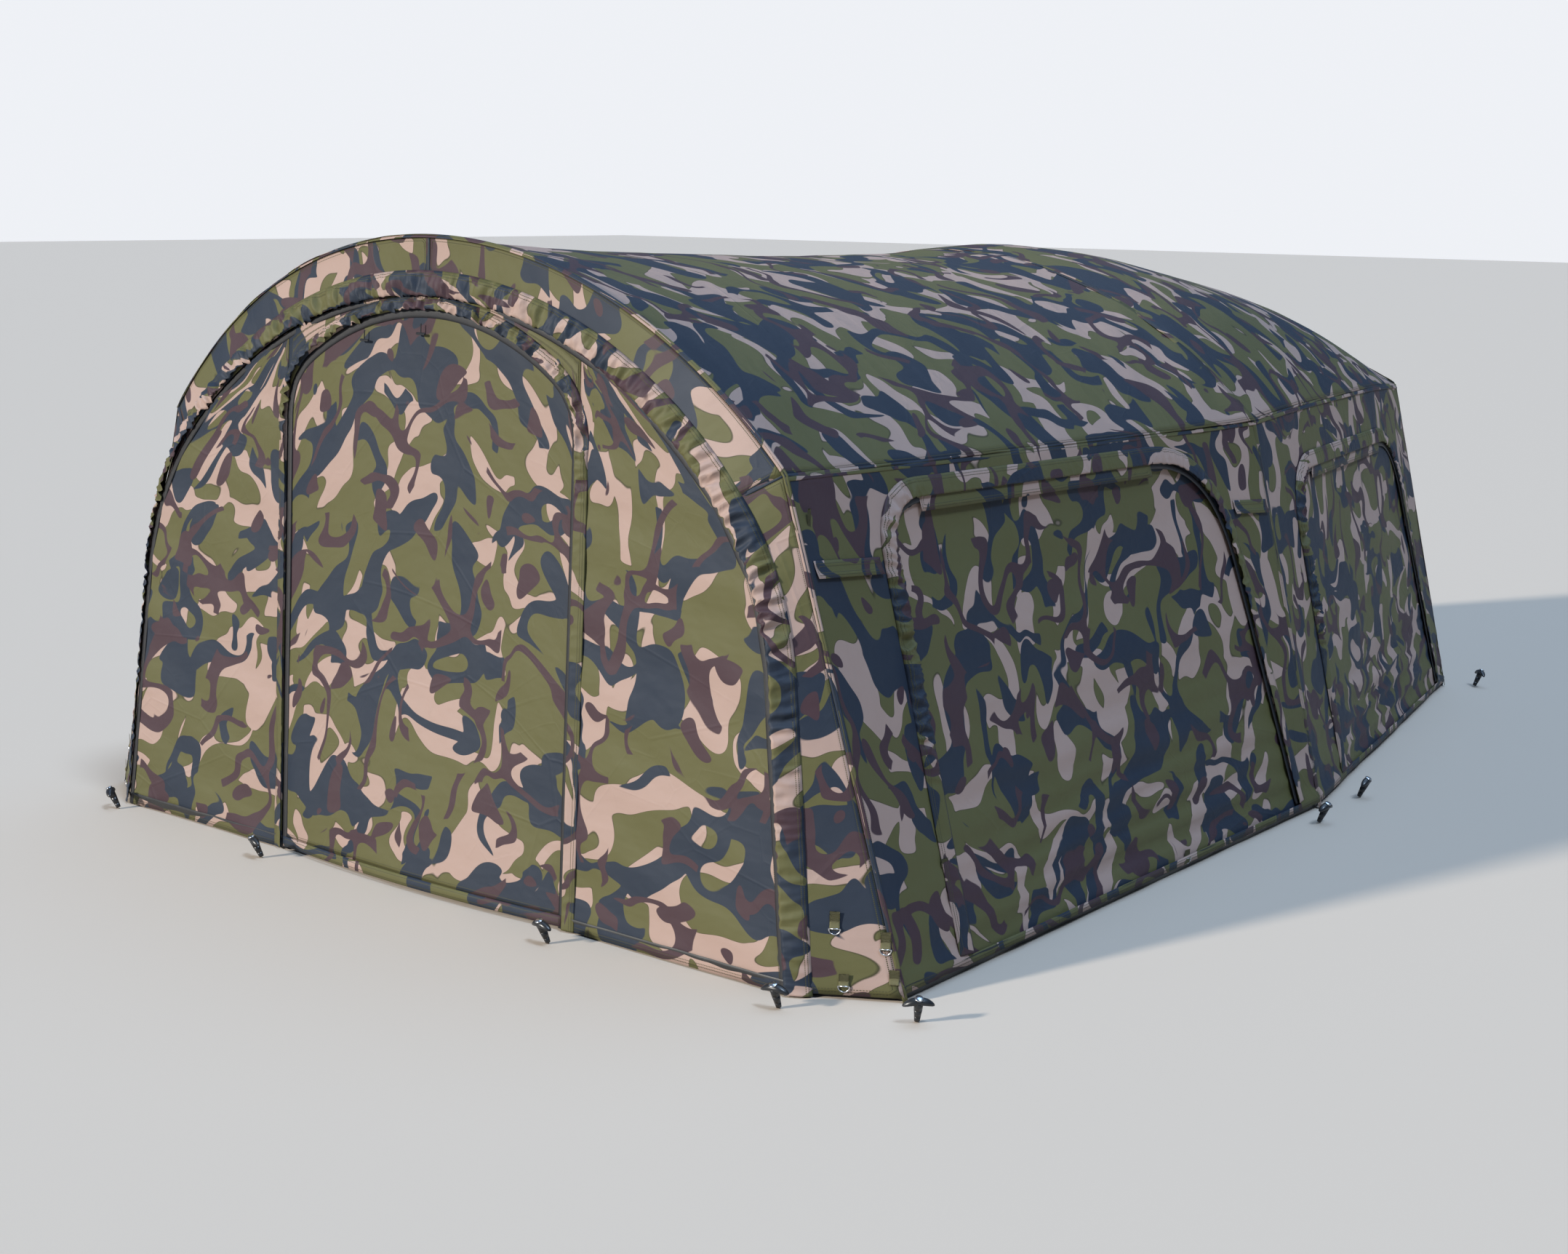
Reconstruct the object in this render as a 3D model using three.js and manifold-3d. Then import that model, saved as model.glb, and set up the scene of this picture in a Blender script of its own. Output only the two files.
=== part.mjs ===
// Walk-in field shelter: a front extension under one round rib, joined to a lower domed sleeping end.
// Millimetres, +Z up. The origin is on the ground at the middle of the floor sheet; -Y is the front.
import * as THREE from 'three';
import Module from 'manifold-3d';
import { mergeVertices } from 'three/addons/utils/BufferGeometryUtils.js';

const wasm = await Module();
wasm.setup();

// ---------------------------------------------------------------- driving dimensions

const SKIN = 2;            // fabric, drawn thicker than the real 0.4 mm cloth
const SEAM_GAP = 1.5;      // room left between two sewn panels
const HEM_HEIGHT = 3;      // the hems hang just clear of the ground

// Each rib: half width and height at its elbows, crown height, foot half width, and where it stands.
const FRONT_RIB = {
  elbow: 1159, elbowHeight: 1186, crown: 1700, foot: 1525, elbowY: -2071, crownY: -2120, footY: -2055,
};
const MID_RIB = {
  elbow: 1063, elbowHeight: 1155, crown: 1640, foot: 1370, elbowY: 228, crownY: 96, footY: 196,
};
const REAR_RIB = {
  elbow: 593, elbowHeight: 1132, crown: 1290, foot: 830, elbowY: 2113, crownY: 2055, footY: 2180,
};

const FRONT_ROOF_SAG = -32;    // the front roof dips between its ribs
const REAR_ROOF_CROWN = 95;    // the rear roof is held up by the ridge pole
const SWELL_CENTRE = 300;      // the cloth swells away from this height on the centre plane

// Shares of the roofs and walls where their edges stop, just clear of their neighbours.
const ROOF_EDGE = 0.998;
const FRONT_ROOF_SPAN = [0.004, 0.999];
const REAR_ROOF_SPAN = [0.003, 0.995];
const WALL_TOP = 0.994;
const WALL_SPAN = [0.004, 0.997];
const SEAM_SHARE = 0.001;
const REAR_WALL_EDGE = 0.99;
const REAR_WALL_OUT = 3;

// The front wall leans back a little. Its zip arch and the door are round-topped outlines.
const FRONT_WALL_Y = -2200;
const FRONT_LEAN = 0.049;
const ZIP_ARCH = { base: 1290, taper: 0.1245, crown: 1550, radius: 1397, turn: 0.785 };
const DOOR_ARCH = { base: 560, taper: 0, crown: 1512, radius: 859, turn: 0.576 };
const DOOR_HEM = { height: 22, lift: 8 };

// Windows are given as shares of their wall, from the front end and up from the hem.
const FRONT_WINDOW = { from: 0.14, to: 0.885 };
const REAR_WINDOW = { from: 0.14, to: 0.95 };
const WINDOW_SILL = 0.02;
const WINDOW_TOP = 0.93;
const HEADER_TOP = 0.985;
const HEADER_INSET = 0.02;
const HEADER_GAP = 0.003;

const POLE_RADIUS = 9.5;
const POLE_WALL = 1.4;
const BAR_RADIUS = 8;
const TUBE_INSET = { elbow: 22, elbowHeight: 13, crown: 24, foot: 26 };    // centre line inside the cloth
const RIB_SETBACK = { front: 22, mid: 0, rear: -34 };
const TUBE_END_GAP = 0.5;      // half the gap where two crown tubes meet
const LEG_END_HEIGHT = 4.75;
const REAR_JOINT = { share: 0.985, reach: 18 };    // where the rear crown tube stops and its legs start
const RIDGE = { from: 0.022, to: 0.965, below: 28, points: 8 };
const EAVE_BAR = { inward: 46, below: 26, endGap: 26 };
const ELBOW_RADIUS = 14;
const ELBOW_GAP = 0.02;        // share of the bend left clear at each end
const ELBOW_REACH = 42;        // from the corner to where each tube meets the elbow
const CROWN_BLOCK = { width: 92, depth: 60, height: 46, drop: 30 };

// Shares of the rim's width that its pieces cover, and of its length where gusset and crown meet.
const RIM = { inner: 0.035, gussetOuter: 0.985, crownOuter: 0.96, split: 0.002, apexGap: 0.0005 };

const FLAP_WIDTH = 68;
const FLAP_LIFT = 5;
const FLAP_OVERHANG = 0.05;    // share of the rim's width that the flap reaches inside the zip

const FLOOR_THICKNESS = 1.6;
const FLOOR_INSET = 70;

const PEG = { handle: 74, bar: 8, bow: 7, neck: 11, tip: 4, length: 58, tilt: 0.42 };
const TOGGLE = { length: 34, radius: 3.5, loop: 1.6, drop: 26, below: 60, fall: 0.12 };
const TOGGLE_X = { left: -236, right: -14 };

// ---------------------------------------------------------------- materials

function material(color, roughness, metalness = 0) {
  return new THREE.MeshStandardMaterial({ color, roughness, metalness });
}

const camouflage = material(0x5f6238, 0.75);
const shadedCamouflage = material(0x3a4230, 0.75);
const trim = material(0x59562f, 0.8);
const anodised = material(0x3b3d38, 0.4, 0.9);
const moulded = material(0x16181a, 0.5);
const groundCloth = material(0x2a2d22, 0.85);

// ---------------------------------------------------------------- shelter surfaces

const { lerp } = THREE.MathUtils;

// A point on a rib's round top. t runs from -1 at the left elbow to 1 at the right one.
function ribPoint(rib, t) {
  const rise = rib.crown - rib.elbowHeight;
  const radius = (rib.elbow ** 2 + rise ** 2) / (2 * rise);
  const angle = t * Math.asin(rib.elbow / radius);
  const y = lerp(rib.crownY, rib.elbowY, Math.abs(t) ** 1.5);
  return new THREE.Vector3(radius * Math.sin(angle), y, rib.crown - radius * (1 - Math.cos(angle)));
}

// The roof between two ribs. belly lifts it (or lets it sag) away from straight lines between them.
function roofPoint(from, to, belly, t, s) {
  const point = ribPoint(from, t).lerp(ribPoint(to, t), s);
  const outward = point.clone().sub(new THREE.Vector3(0, point.y, SWELL_CENTRE)).normalize();
  const swell = belly * (1 - Math.abs(2 * s - 1) ** 3) * (1 - 0.7 * Math.abs(t) ** 4);
  return point.addScaledVector(outward, swell);
}

const frontRoof = (t, s) => roofPoint(FRONT_RIB, MID_RIB, FRONT_ROOF_SAG, t, s);
const rearRoof = (t, s) => roofPoint(MID_RIB, REAR_RIB, REAR_ROOF_CROWN, t, s);

const foot = (rib, side) => new THREE.Vector3(side * rib.foot, rib.footY, HEM_HEIGHT);

// A side wall runs straight from its hem (h = 0) up to the roof's edge (h = 1).
function wallPoint(from, to, roof, side, s, h) {
  const hem = foot(from, side).lerp(foot(to, side), s);
  return hem.lerp(roof(side, s), h);
}

const frontWall = (side) => (s, h) => wallPoint(FRONT_RIB, MID_RIB, frontRoof, side, s, h);
const rearWall = (side) => (s, h) => wallPoint(MID_RIB, REAR_RIB, rearRoof, side, s, h);

// Half of a round-topped outline, from its foot up to its crown: a leg, a bend and a crown arc.
function archHalf({ base, taper, crown, radius, turn }) {
  const centreHeight = crown - radius;
  const arcEnd = new THREE.Vector2(radius * Math.sin(turn), centreHeight + radius * Math.cos(turn));
  const reach = (base - taper * arcEnd.y - arcEnd.x) / (Math.cos(turn) - taper * Math.sin(turn));
  const corner = new THREE.Vector2(arcEnd.x + reach * Math.cos(turn), arcEnd.y - reach * Math.sin(turn));
  const legTop = new THREE.Vector2(corner.x + taper * reach, corner.y - reach);
  const path = new THREE.Path();
  path.moveTo(base, 0);
  path.lineTo(legTop.x, legTop.y);
  path.quadraticCurveTo(corner.x, corner.y, arcEnd.x, arcEnd.y);
  path.absarc(0, centreHeight, radius, Math.PI / 2 - turn, Math.PI / 2, false);
  return path;
}

const zipArch = archHalf(ZIP_ARCH);

// A point of the leaning front wall, from its width and its height along the cloth.
function frontPoint(x, height) {
  const slope = Math.hypot(1, FRONT_LEAN);
  return new THREE.Vector3(x, FRONT_WALL_Y + (height * FRONT_LEAN) / slope, HEM_HEIGHT + height / slope);
}

// The band round the front: f runs from the foot (0) past the elbow (0.5) to the crown (1),
// and w from the zip arch (0) out to the rib (1).
function rimPoint(side, f, w) {
  const inner = zipArch.getPointAt(f);
  const start = frontPoint(side * inner.x, inner.y);
  const outer = f < 0.5
    ? foot(FRONT_RIB, side).lerp(frontRoof(side, 0), f * 2)
    : frontRoof(side * (2 - 2 * f), 0);
  return start.lerp(outer, w);
}

// ---------------------------------------------------------------- building blocks

function faceNormal(surface, u, v) {
  const step = 0.002;
  const before = (value) => Math.max(0, value - step);
  const after = (value) => Math.min(1, value + step);
  const du = surface(after(u), v).sub(surface(before(u), v));
  const dv = surface(u, after(v)).sub(surface(u, before(v)));
  return du.cross(dv).normalize();
}

// A cloth panel: two grids SKIN apart, the outer one on surface(u, v), closed all round by an edge strip.
function cloth(surface, countU, countV, lift = 0) {
  const outer = [];
  const inner = [];
  for (let j = 0; j <= countV; j += 1) {
    for (let i = 0; i <= countU; i += 1) {
      const u = i / countU;
      const v = j / countV;
      const normal = faceNormal(surface, u, v);
      outer.push(surface(u, v).addScaledVector(normal, lift));
      inner.push(surface(u, v).addScaledVector(normal, lift - SKIN));
    }
  }
  const at = (i, j) => j * (countU + 1) + i;
  const back = outer.length;
  const faces = [];
  for (let j = 0; j < countV; j += 1) {
    for (let i = 0; i < countU; i += 1) {
      const [a, b, c, d] = [at(i, j), at(i + 1, j), at(i + 1, j + 1), at(i, j + 1)];
      faces.push(a, b, c, a, c, d);
      faces.push(back + a, back + c, back + b, back + a, back + d, back + c);
    }
  }
  const edge = [];
  for (let i = 0; i < countU; i += 1) edge.push(at(i, 0));
  for (let j = 0; j < countV; j += 1) edge.push(at(countU, j));
  for (let i = countU; i > 0; i -= 1) edge.push(at(i, countV));
  for (let j = countV; j > 0; j -= 1) edge.push(at(0, j));
  edge.forEach((a, k) => {
    const b = edge[(k + 1) % edge.length];
    faces.push(a, back + a, back + b, a, back + b, b);
  });
  const geometry = new THREE.BufferGeometry().setFromPoints([...outer, ...inner]);
  geometry.setIndex(faces);
  geometry.computeVertexNormals();
  return geometry;
}

// The same panel on one side of the shelter. The left side swaps u, so that it still faces out.
function sidePanel(side, surface, countU, countV, lift = 0) {
  const facing = side > 0 ? surface : (u, v) => surface(1 - u, v);
  return cloth(facing, countU, countV, lift);
}

// A patch of a surface, from (u0, v0) to (u1, v1).
const patch = (surface, u0, u1, v0, v1) => (u, v) => surface(lerp(u0, u1, u), lerp(v0, v1, v));

// A bar along a curve, or a tube when it has a bore.
function tube(curve, radius, steps, sides = 12, bore = 0) {
  const section = new THREE.Shape().absarc(0, 0, radius, 0, 2 * Math.PI);
  if (bore > 0) section.holes.push(new THREE.Path().absarc(0, 0, bore, 0, 2 * Math.PI));
  return new THREE.ExtrudeGeometry(section, {
    steps, extrudePath: curve, bevelEnabled: false, curveSegments: sides / 2,
  });
}

const pole = (curve, radius, steps) => tube(curve, radius, steps, 10, radius - POLE_WALL);
const straight = (from, to) => new THREE.LineCurve3(from, to);

function toManifold(geometry) {
  const bare = geometry.clone();
  bare.deleteAttribute('normal');
  bare.deleteAttribute('uv');
  const merged = mergeVertices(bare, 1e-3);
  return new wasm.Manifold(new wasm.Mesh({
    numProp: 3,
    vertProperties: new Float32Array(merged.attributes.position.array),
    triVerts: new Uint32Array(merged.index.array),
  }));
}

function fromManifold(solid) {
  const mesh = solid.getMesh();
  const geometry = new THREE.BufferGeometry();
  geometry.setAttribute('position', new THREE.BufferAttribute(mesh.vertProperties, 3));
  geometry.setIndex(new THREE.BufferAttribute(mesh.triVerts, 1));
  geometry.computeVertexNormals();
  return geometry;
}

const shelter = new THREE.Group();

function add(name, geometry, look, parent = shelter) {
  const mesh = new THREE.Mesh(geometry, look);
  mesh.name = name;
  parent.add(mesh);
  return mesh;
}

const SIDES = [['left', -1], ['right', 1]];

// ---------------------------------------------------------------- ribs and poles

// A rib's centre line lies inside the cloth, and setback moves it along the shelter.
const insetRib = (rib, setback) => ({
  elbow: rib.elbow - TUBE_INSET.elbow,
  elbowHeight: rib.elbowHeight - TUBE_INSET.elbowHeight,
  crown: rib.crown - TUBE_INSET.crown,
  foot: rib.foot - TUBE_INSET.foot,
  elbowY: rib.elbowY + setback,
  crownY: rib.crownY + setback,
  footY: rib.footY + setback,
});

class RibArc extends THREE.Curve {
  constructor(rib, from, to) {
    super();
    this.at = (t) => ribPoint(rib, lerp(from, to, t));
  }

  getPoint(t) {
    return this.at(t);
  }
}

// The share of the round top that an elbow or the crown block takes up at its end.
function shareOf(rib, length) {
  const rise = rib.crown - rib.elbowHeight;
  const radius = (rib.elbow ** 2 + rise ** 2) / (2 * rise);
  return length / (radius * Math.asin(rib.elbow / radius));
}

function addLeg(name, rib, side, reach) {
  const top = ribPoint(rib, side);
  const bottom = new THREE.Vector3(side * rib.foot, rib.footY, LEG_END_HEIGHT);
  const start = top.clone().lerp(bottom, reach / top.distanceTo(bottom));
  add(name, pole(straight(start, bottom), POLE_RADIUS, 1), anodised);
  return start;
}

function addJointedRib(prefix, rib, crownGap) {
  for (const [word, side] of SIDES) {
    const elbowShare = shareOf(rib, ELBOW_REACH);
    const crownShare = shareOf(rib, crownGap);
    const arc = new RibArc(rib, side * crownShare, side * (1 - elbowShare));
    add(`${prefix}_crown_tube_${word}`, pole(arc, POLE_RADIUS, 12), anodised);
    const legTop = addLeg(`${prefix}_leg_${word}`, rib, side, ELBOW_REACH);
    const corner = ribPoint(rib, side);
    const arcEnd = ribPoint(rib, side * (1 - elbowShare)).lerp(corner, ELBOW_GAP);
    const bend = new THREE.QuadraticBezierCurve3(arcEnd, corner, legTop.lerp(corner, ELBOW_GAP));
    add(`${prefix}_elbow_${word}`, tube(bend, ELBOW_RADIUS, 6), moulded);
  }
}

const frontTubes = insetRib(FRONT_RIB, RIB_SETBACK.front);
const midTubes = insetRib(MID_RIB, RIB_SETBACK.mid);
const rearTubes = insetRib(REAR_RIB, RIB_SETBACK.rear);

addJointedRib('front', frontTubes, TUBE_END_GAP);
addJointedRib('mid', midTubes, CROWN_BLOCK.width / 2 + 2 * TUBE_END_GAP);

// The moulded block at the middle rib's crown takes both crown tubes and the ridge pole.
{
  const { width, depth, height, drop } = CROWN_BLOCK;
  const outline = new THREE.Shape();
  const halfHeight = height / 2;
  outline.moveTo(-width / 2, -halfHeight);
  outline.lineTo(width / 2, -halfHeight);
  outline.lineTo(width / 2, halfHeight * 0.4);
  outline.quadraticCurveTo(0, halfHeight * 1.5, -width / 2, halfHeight * 0.4);
  outline.closePath();
  const block = new THREE.ExtrudeGeometry(outline, { depth, bevelEnabled: false, curveSegments: 8 });
  block.rotateX(Math.PI / 2);
  add('crown_block', block, moulded).position.set(0, midTubes.crownY + depth / 2, MID_RIB.crown - drop);
}

// The rear rib is one bent tube with a leg pushed on at each end.
const rearArc = new RibArc(rearTubes, -REAR_JOINT.share, REAR_JOINT.share);
add('rear_crown_tube', pole(rearArc, POLE_RADIUS, 14), anodised);
for (const [word, side] of SIDES) {
  addLeg(`rear_leg_${word}`, rearTubes, side, REAR_JOINT.reach);
}

// The ridge pole springs from the crown block back to the rear rib and lifts the rear roof.
{
  const points = [];
  for (let i = 0; i <= RIDGE.points; i += 1) {
    const point = rearRoof(0, lerp(RIDGE.from, RIDGE.to, i / RIDGE.points));
    point.z -= RIDGE.below;
    points.push(point);
  }
  add('ridge_pole', pole(new THREE.CatmullRomCurve3(points), BAR_RADIUS, 14), anodised);
}

// An eave bar on each side keeps the front and middle ribs apart.
for (const [word, side] of SIDES) {
  const endOf = (rib, along) => ribPoint(rib, side)
    .add(new THREE.Vector3(-side * EAVE_BAR.inward, along * EAVE_BAR.endGap, -EAVE_BAR.below));
  const start = endOf(frontTubes, 1);
  const end = endOf(midTubes, -1);
  add(`eave_bar_${word}`, pole(straight(start, end), BAR_RADIUS, 1), anodised);
}

// ---------------------------------------------------------------- roof and walls

for (const [name, roof, span, look] of [
  ['front_roof', frontRoof, FRONT_ROOF_SPAN, camouflage],
  ['rear_roof', rearRoof, REAR_ROOF_SPAN, shadedCamouflage],
]) {
  add(name, cloth(patch(roof, -ROOF_EDGE, ROOF_EDGE, ...span), 26, 12), look);
}

for (const [word, side] of SIDES) {
  const front = frontWall(side);
  const rear = rearWall(side);
  const frontStrip = patch(front, WALL_SPAN[0], FRONT_WINDOW.from - SEAM_SHARE, 0, WALL_TOP);
  add(`front_wall_strip_${word}`, sidePanel(side, frontStrip, 2, 6), camouflage);
  // The middle strip bends round the middle rib, from the front wall on to the rear one.
  const midStrip = (u, v) => (u < 0.5
    ? front(lerp(FRONT_WINDOW.to + SEAM_SHARE, 1, u * 2), v * WALL_TOP)
    : rear(lerp(0, REAR_WINDOW.from - SEAM_SHARE, u * 2 - 1), v * WALL_TOP));
  add(`mid_wall_strip_${word}`, sidePanel(side, midStrip, 4, 6), camouflage);
  const rearStrip = patch(rear, REAR_WINDOW.to + SEAM_SHARE, WALL_SPAN[1], 0, WALL_TOP);
  add(`rear_wall_strip_${word}`, sidePanel(side, rearStrip, 2, 6), shadedCamouflage);

  for (const [place, wall, window] of [['front', front, FRONT_WINDOW], ['rear', rear, REAR_WINDOW]]) {
    const panel = patch(
      wall, window.from + SEAM_SHARE, window.to - SEAM_SHARE, WINDOW_SILL, WINDOW_TOP);
    add(`${place}_window_panel_${word}`, sidePanel(side, panel, 10, 6), shadedCamouflage);
    const header = patch(
      wall, window.from + HEADER_INSET, window.to - HEADER_INSET, WINDOW_TOP + HEADER_GAP, HEADER_TOP);
    add(`${place}_window_header_${word}`, sidePanel(side, header, 10, 1), trim);
  }
}

// The rear wall fills the rear rib.
{
  const rearWallPoint = (u, v) => {
    const t = lerp(-REAR_WALL_EDGE, REAR_WALL_EDGE, u);
    const top = ribPoint(REAR_RIB, t);
    const bottom = new THREE.Vector3(t * REAR_RIB.foot, REAR_RIB.footY, HEM_HEIGHT);
    return bottom.lerp(top, v * REAR_WALL_EDGE).add(new THREE.Vector3(0, REAR_WALL_OUT, 0));
  };
  add('rear_wall', cloth((u, v) => rearWallPoint(1 - u, v), 16, 6), shadedCamouflage);
}

// ---------------------------------------------------------------- front rim, panels and door

for (const [word, side] of SIDES) {
  const rim = (f, w) => rimPoint(side, f, w);
  const turned = (surface) => (u, v) => surface(v, u);
  const gusset = turned(patch(rim, 0, 0.5 - RIM.split, RIM.inner, RIM.gussetOuter));
  add(`front_gusset_${word}`, sidePanel(side, gusset, 2, 10), camouflage);
  const crown = turned(patch(rim, 0.5 + RIM.split, 1 - RIM.apexGap, RIM.inner, RIM.crownOuter));
  add(`front_rim_${word}`, sidePanel(side, crown, 2, 16), camouflage);
}

// The gathered flap lies over the zip on the inner edge of the rim, in one length from foot to foot.
{
  const flap = (u, v) => {
    const side = v < 0.5 ? 1 : -1;
    const f = Math.max(RIM.split, 1 - Math.abs(2 * v - 1));
    const inner = rimPoint(side, f, 0);
    const outer = rimPoint(side, f, 1);
    const width = FLAP_WIDTH / inner.distanceTo(outer);
    return inner.lerp(outer, lerp(-FLAP_OVERHANG, width, u)).add(new THREE.Vector3(0, -FLAP_LIFT, 0));
  };
  add('front_arch_flap', cloth(flap, 1, 48, FLAP_LIFT), trim);
}

// The flat pieces of the front share one plane: outlines are drawn upright and leaned back together.
const frontPlane = new THREE.Group();
frontPlane.position.set(0, FRONT_WALL_Y, HEM_HEIGHT);
frontPlane.rotation.x = Math.PI / 2 - Math.atan(FRONT_LEAN);
shelter.add(frontPlane);

// Points of a half outline, grown or shrunk by a seam allowance, from foot to crown.
const outlineHalf = (arch, grow) => archHalf({
  ...arch, base: arch.base + grow, crown: arch.crown + grow, radius: arch.radius + grow,
}).getSpacedPoints(40);

const mirror = (points) => points.map((p) => new THREE.Vector2(-p.x, p.y)).reverse();

function addFlat(name, points, look) {
  const sheet = new THREE.ExtrudeGeometry(new THREE.Shape(points), { depth: SKIN, bevelEnabled: false });
  const mesh = add(name, sheet, look, frontPlane);
  mesh.position.z = -SKIN;
  return mesh;
}

// Upright seams at the door's width divide the front into two side panels and one over the door.
{
  const zipEdge = outlineHalf(ZIP_ARCH, -SEAM_GAP);
  const seam = DOOR_ARCH.base + SEAM_GAP;
  const crownRadius = ZIP_ARCH.radius - SEAM_GAP;
  const zipHeight = (x) => ZIP_ARCH.crown - SEAM_GAP - crownRadius + Math.sqrt(crownRadius ** 2 - x ** 2);
  const sideEdge = zipEdge.filter((p) => p.x > seam + 1);
  const sideOutline = [new THREE.Vector2(seam, 0), ...sideEdge, new THREE.Vector2(seam, zipHeight(seam))];
  addFlat('front_panel_right', sideOutline, camouflage);
  addFlat('front_panel_left', mirror(sideOutline), camouflage);

  const topWidth = seam - SEAM_GAP;
  const doorTop = outlineHalf(DOOR_ARCH, SEAM_GAP).filter((p) => p.x < topWidth - 0.5);
  const zipTop = zipEdge.filter((p) => p.x < topWidth - 1).reverse();
  const right = [new THREE.Vector2(topWidth, doorTop[0].y - 40), ...doorTop];
  const over = [...zipTop, new THREE.Vector2(topWidth, zipHeight(topWidth))];
  const topOutline = [...right, ...mirror(right).slice(1), ...mirror(over), ...over.slice(1)];
  addFlat('front_panel_top', topOutline, camouflage);

  const bottom = DOOR_HEM.lift + DOOR_HEM.height;
  const doorEdge = outlineHalf(DOOR_ARCH, -SEAM_GAP).filter((p) => p.y > bottom);
  const half = [new THREE.Vector2(DOOR_ARCH.base - SEAM_GAP, bottom), ...doorEdge];
  addFlat('door_panel', [...half, ...mirror(half).slice(1)], camouflage);
}

// The door's hem is the stiff turned edge that is rolled up with the door.
{
  const hem = new THREE.BoxGeometry(2 * (DOOR_ARCH.base - 6), DOOR_HEM.height - 1, SKIN * 3);
  const mesh = add('door_hem', hem, trim, frontPlane);
  mesh.position.set(0, DOOR_HEM.lift + (DOOR_HEM.height - 1) / 2, -SKIN / 2);
}

// Two toggles hang on elastic loops over the door's top and hold the rolled door.
for (const [word, x] of Object.entries(TOGGLE_X)) {
  const barShape = new THREE.CapsuleGeometry(TOGGLE.radius, TOGGLE.length - 2 * TOGGLE.radius, 3, 10);
  barShape.rotateZ(Math.PI / 2);
  const loop = new THREE.CylinderGeometry(TOGGLE.loop, TOGGLE.loop, TOGGLE.drop, 8);
  loop.translate(0, TOGGLE.drop / 2, 0);
  const toggle = fromManifold(toManifold(barShape).add(toManifold(loop)));
  const mesh = add(`door_toggle_${word}`, toggle, moulded, frontPlane);
  const height = DOOR_ARCH.crown - TOGGLE.below - Math.abs(x) * TOGGLE.fall;
  mesh.position.set(x, height, FLAP_LIFT + TOGGLE.radius + 0.5);
}

// ---------------------------------------------------------------- floor sheet

{
  const corners = [];
  for (const side of [1, -1]) {
    const edge = [FRONT_RIB, MID_RIB, REAR_RIB].map((rib) => new THREE.Vector2(
      side * (rib.foot - FLOOR_INSET), rib.footY + (rib === REAR_RIB ? -FLOOR_INSET : 0)));
    corners.push(...(side > 0 ? edge : edge.reverse()));
  }
  const outline = new THREE.Shape(corners);
  const sheet = new THREE.ExtrudeGeometry(outline, { depth: FLOOR_THICKNESS, bevelEnabled: false });
  add('floor_sheet', sheet, groundCloth);
}

// ---------------------------------------------------------------- pegs

// A peg is a bowed moulded handle on a steel shank. Only the part above the ground is made.
function pegGeometry() {
  const bow = new THREE.QuadraticBezierCurve3(
    new THREE.Vector3(-PEG.handle / 2, 0, PEG.length - PEG.bow),
    new THREE.Vector3(0, 0, PEG.length + PEG.bow),
    new THREE.Vector3(PEG.handle / 2, 0, PEG.length - PEG.bow));
  const handle = tube(bow, PEG.bar, 6, 10);
  const shank = new THREE.LatheGeometry([
    new THREE.Vector2(0, 0),
    new THREE.Vector2(PEG.tip, 0),
    new THREE.Vector2(PEG.tip, PEG.length * 0.3),
    new THREE.Vector2(PEG.neck, PEG.length * 0.72),
    new THREE.Vector2(PEG.neck, PEG.length + PEG.bar * 0.8),
    new THREE.Vector2(0, PEG.length + PEG.bar * 0.8),
  ], 10);
  shank.rotateX(Math.PI / 2);
  return fromManifold(toManifold(handle).add(toManifold(shank)));
}

// Each peg: where it enters the ground, and the direction its head leans, as an angle from +X.
const PEGS = [
  ['peg_front_left', -1262, -2256, 225],
  ['peg_door_left', -528, -2296, 250],
  ['peg_door_right', 604, -2296, 262],
  ['peg_front_right', 1330, -2272, 280],
  ['peg_corner_right', 1618, -2134, 315],
  ['peg_mid_front_right', 1448, 40, 0],
  ['peg_mid_rear_right', 1392, 400, 10],
  ['peg_rear_right', 918, 2246, 50],
  ['peg_mid_front_left', -1448, 40, 180],
  ['peg_mid_rear_left', -1392, 400, 170],
  ['peg_rear_left', -918, 2246, 130],
];

const peg = pegGeometry();
const PEG_CLEAR = PEG.tip * Math.sin(PEG.tilt) + 0.2;    // keeps the leaning shank's edge off the ground
for (const [name, x, y, heading] of PEGS) {
  const mesh = add(name, peg, moulded);
  mesh.rotation.order = 'ZYX';
  mesh.rotation.z = THREE.MathUtils.degToRad(heading + 90);
  mesh.rotation.x = PEG.tilt;
  mesh.position.set(x, y, PEG_CLEAR);
}

export default shelter;
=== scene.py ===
"""The looks of a walk-in field shelter: printed cloth on three ribs, a zipped door, four windows and pegs.

Metres. The origin is on the ground in the middle of the floor sheet, -Y is the front and +Z is up.
"""

import math
from collections import namedtuple

import bmesh
import bpy
from mathutils import Matrix, Vector, noise


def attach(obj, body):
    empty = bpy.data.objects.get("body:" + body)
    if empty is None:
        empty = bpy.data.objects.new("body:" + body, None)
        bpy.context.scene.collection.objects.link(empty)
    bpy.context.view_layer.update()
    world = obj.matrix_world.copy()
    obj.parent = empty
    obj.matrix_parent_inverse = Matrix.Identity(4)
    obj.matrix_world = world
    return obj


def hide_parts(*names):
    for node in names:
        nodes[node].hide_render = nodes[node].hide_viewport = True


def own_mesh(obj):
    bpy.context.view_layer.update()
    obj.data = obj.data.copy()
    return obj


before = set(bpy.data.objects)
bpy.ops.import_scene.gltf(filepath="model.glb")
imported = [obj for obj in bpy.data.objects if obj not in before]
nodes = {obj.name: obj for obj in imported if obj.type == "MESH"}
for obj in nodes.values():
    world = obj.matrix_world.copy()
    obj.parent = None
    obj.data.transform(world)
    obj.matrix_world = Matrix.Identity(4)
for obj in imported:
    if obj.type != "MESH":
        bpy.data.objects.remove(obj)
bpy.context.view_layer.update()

scene = bpy.context.scene

# ---------------- camera
# A standing person's view of the right front corner.

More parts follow.
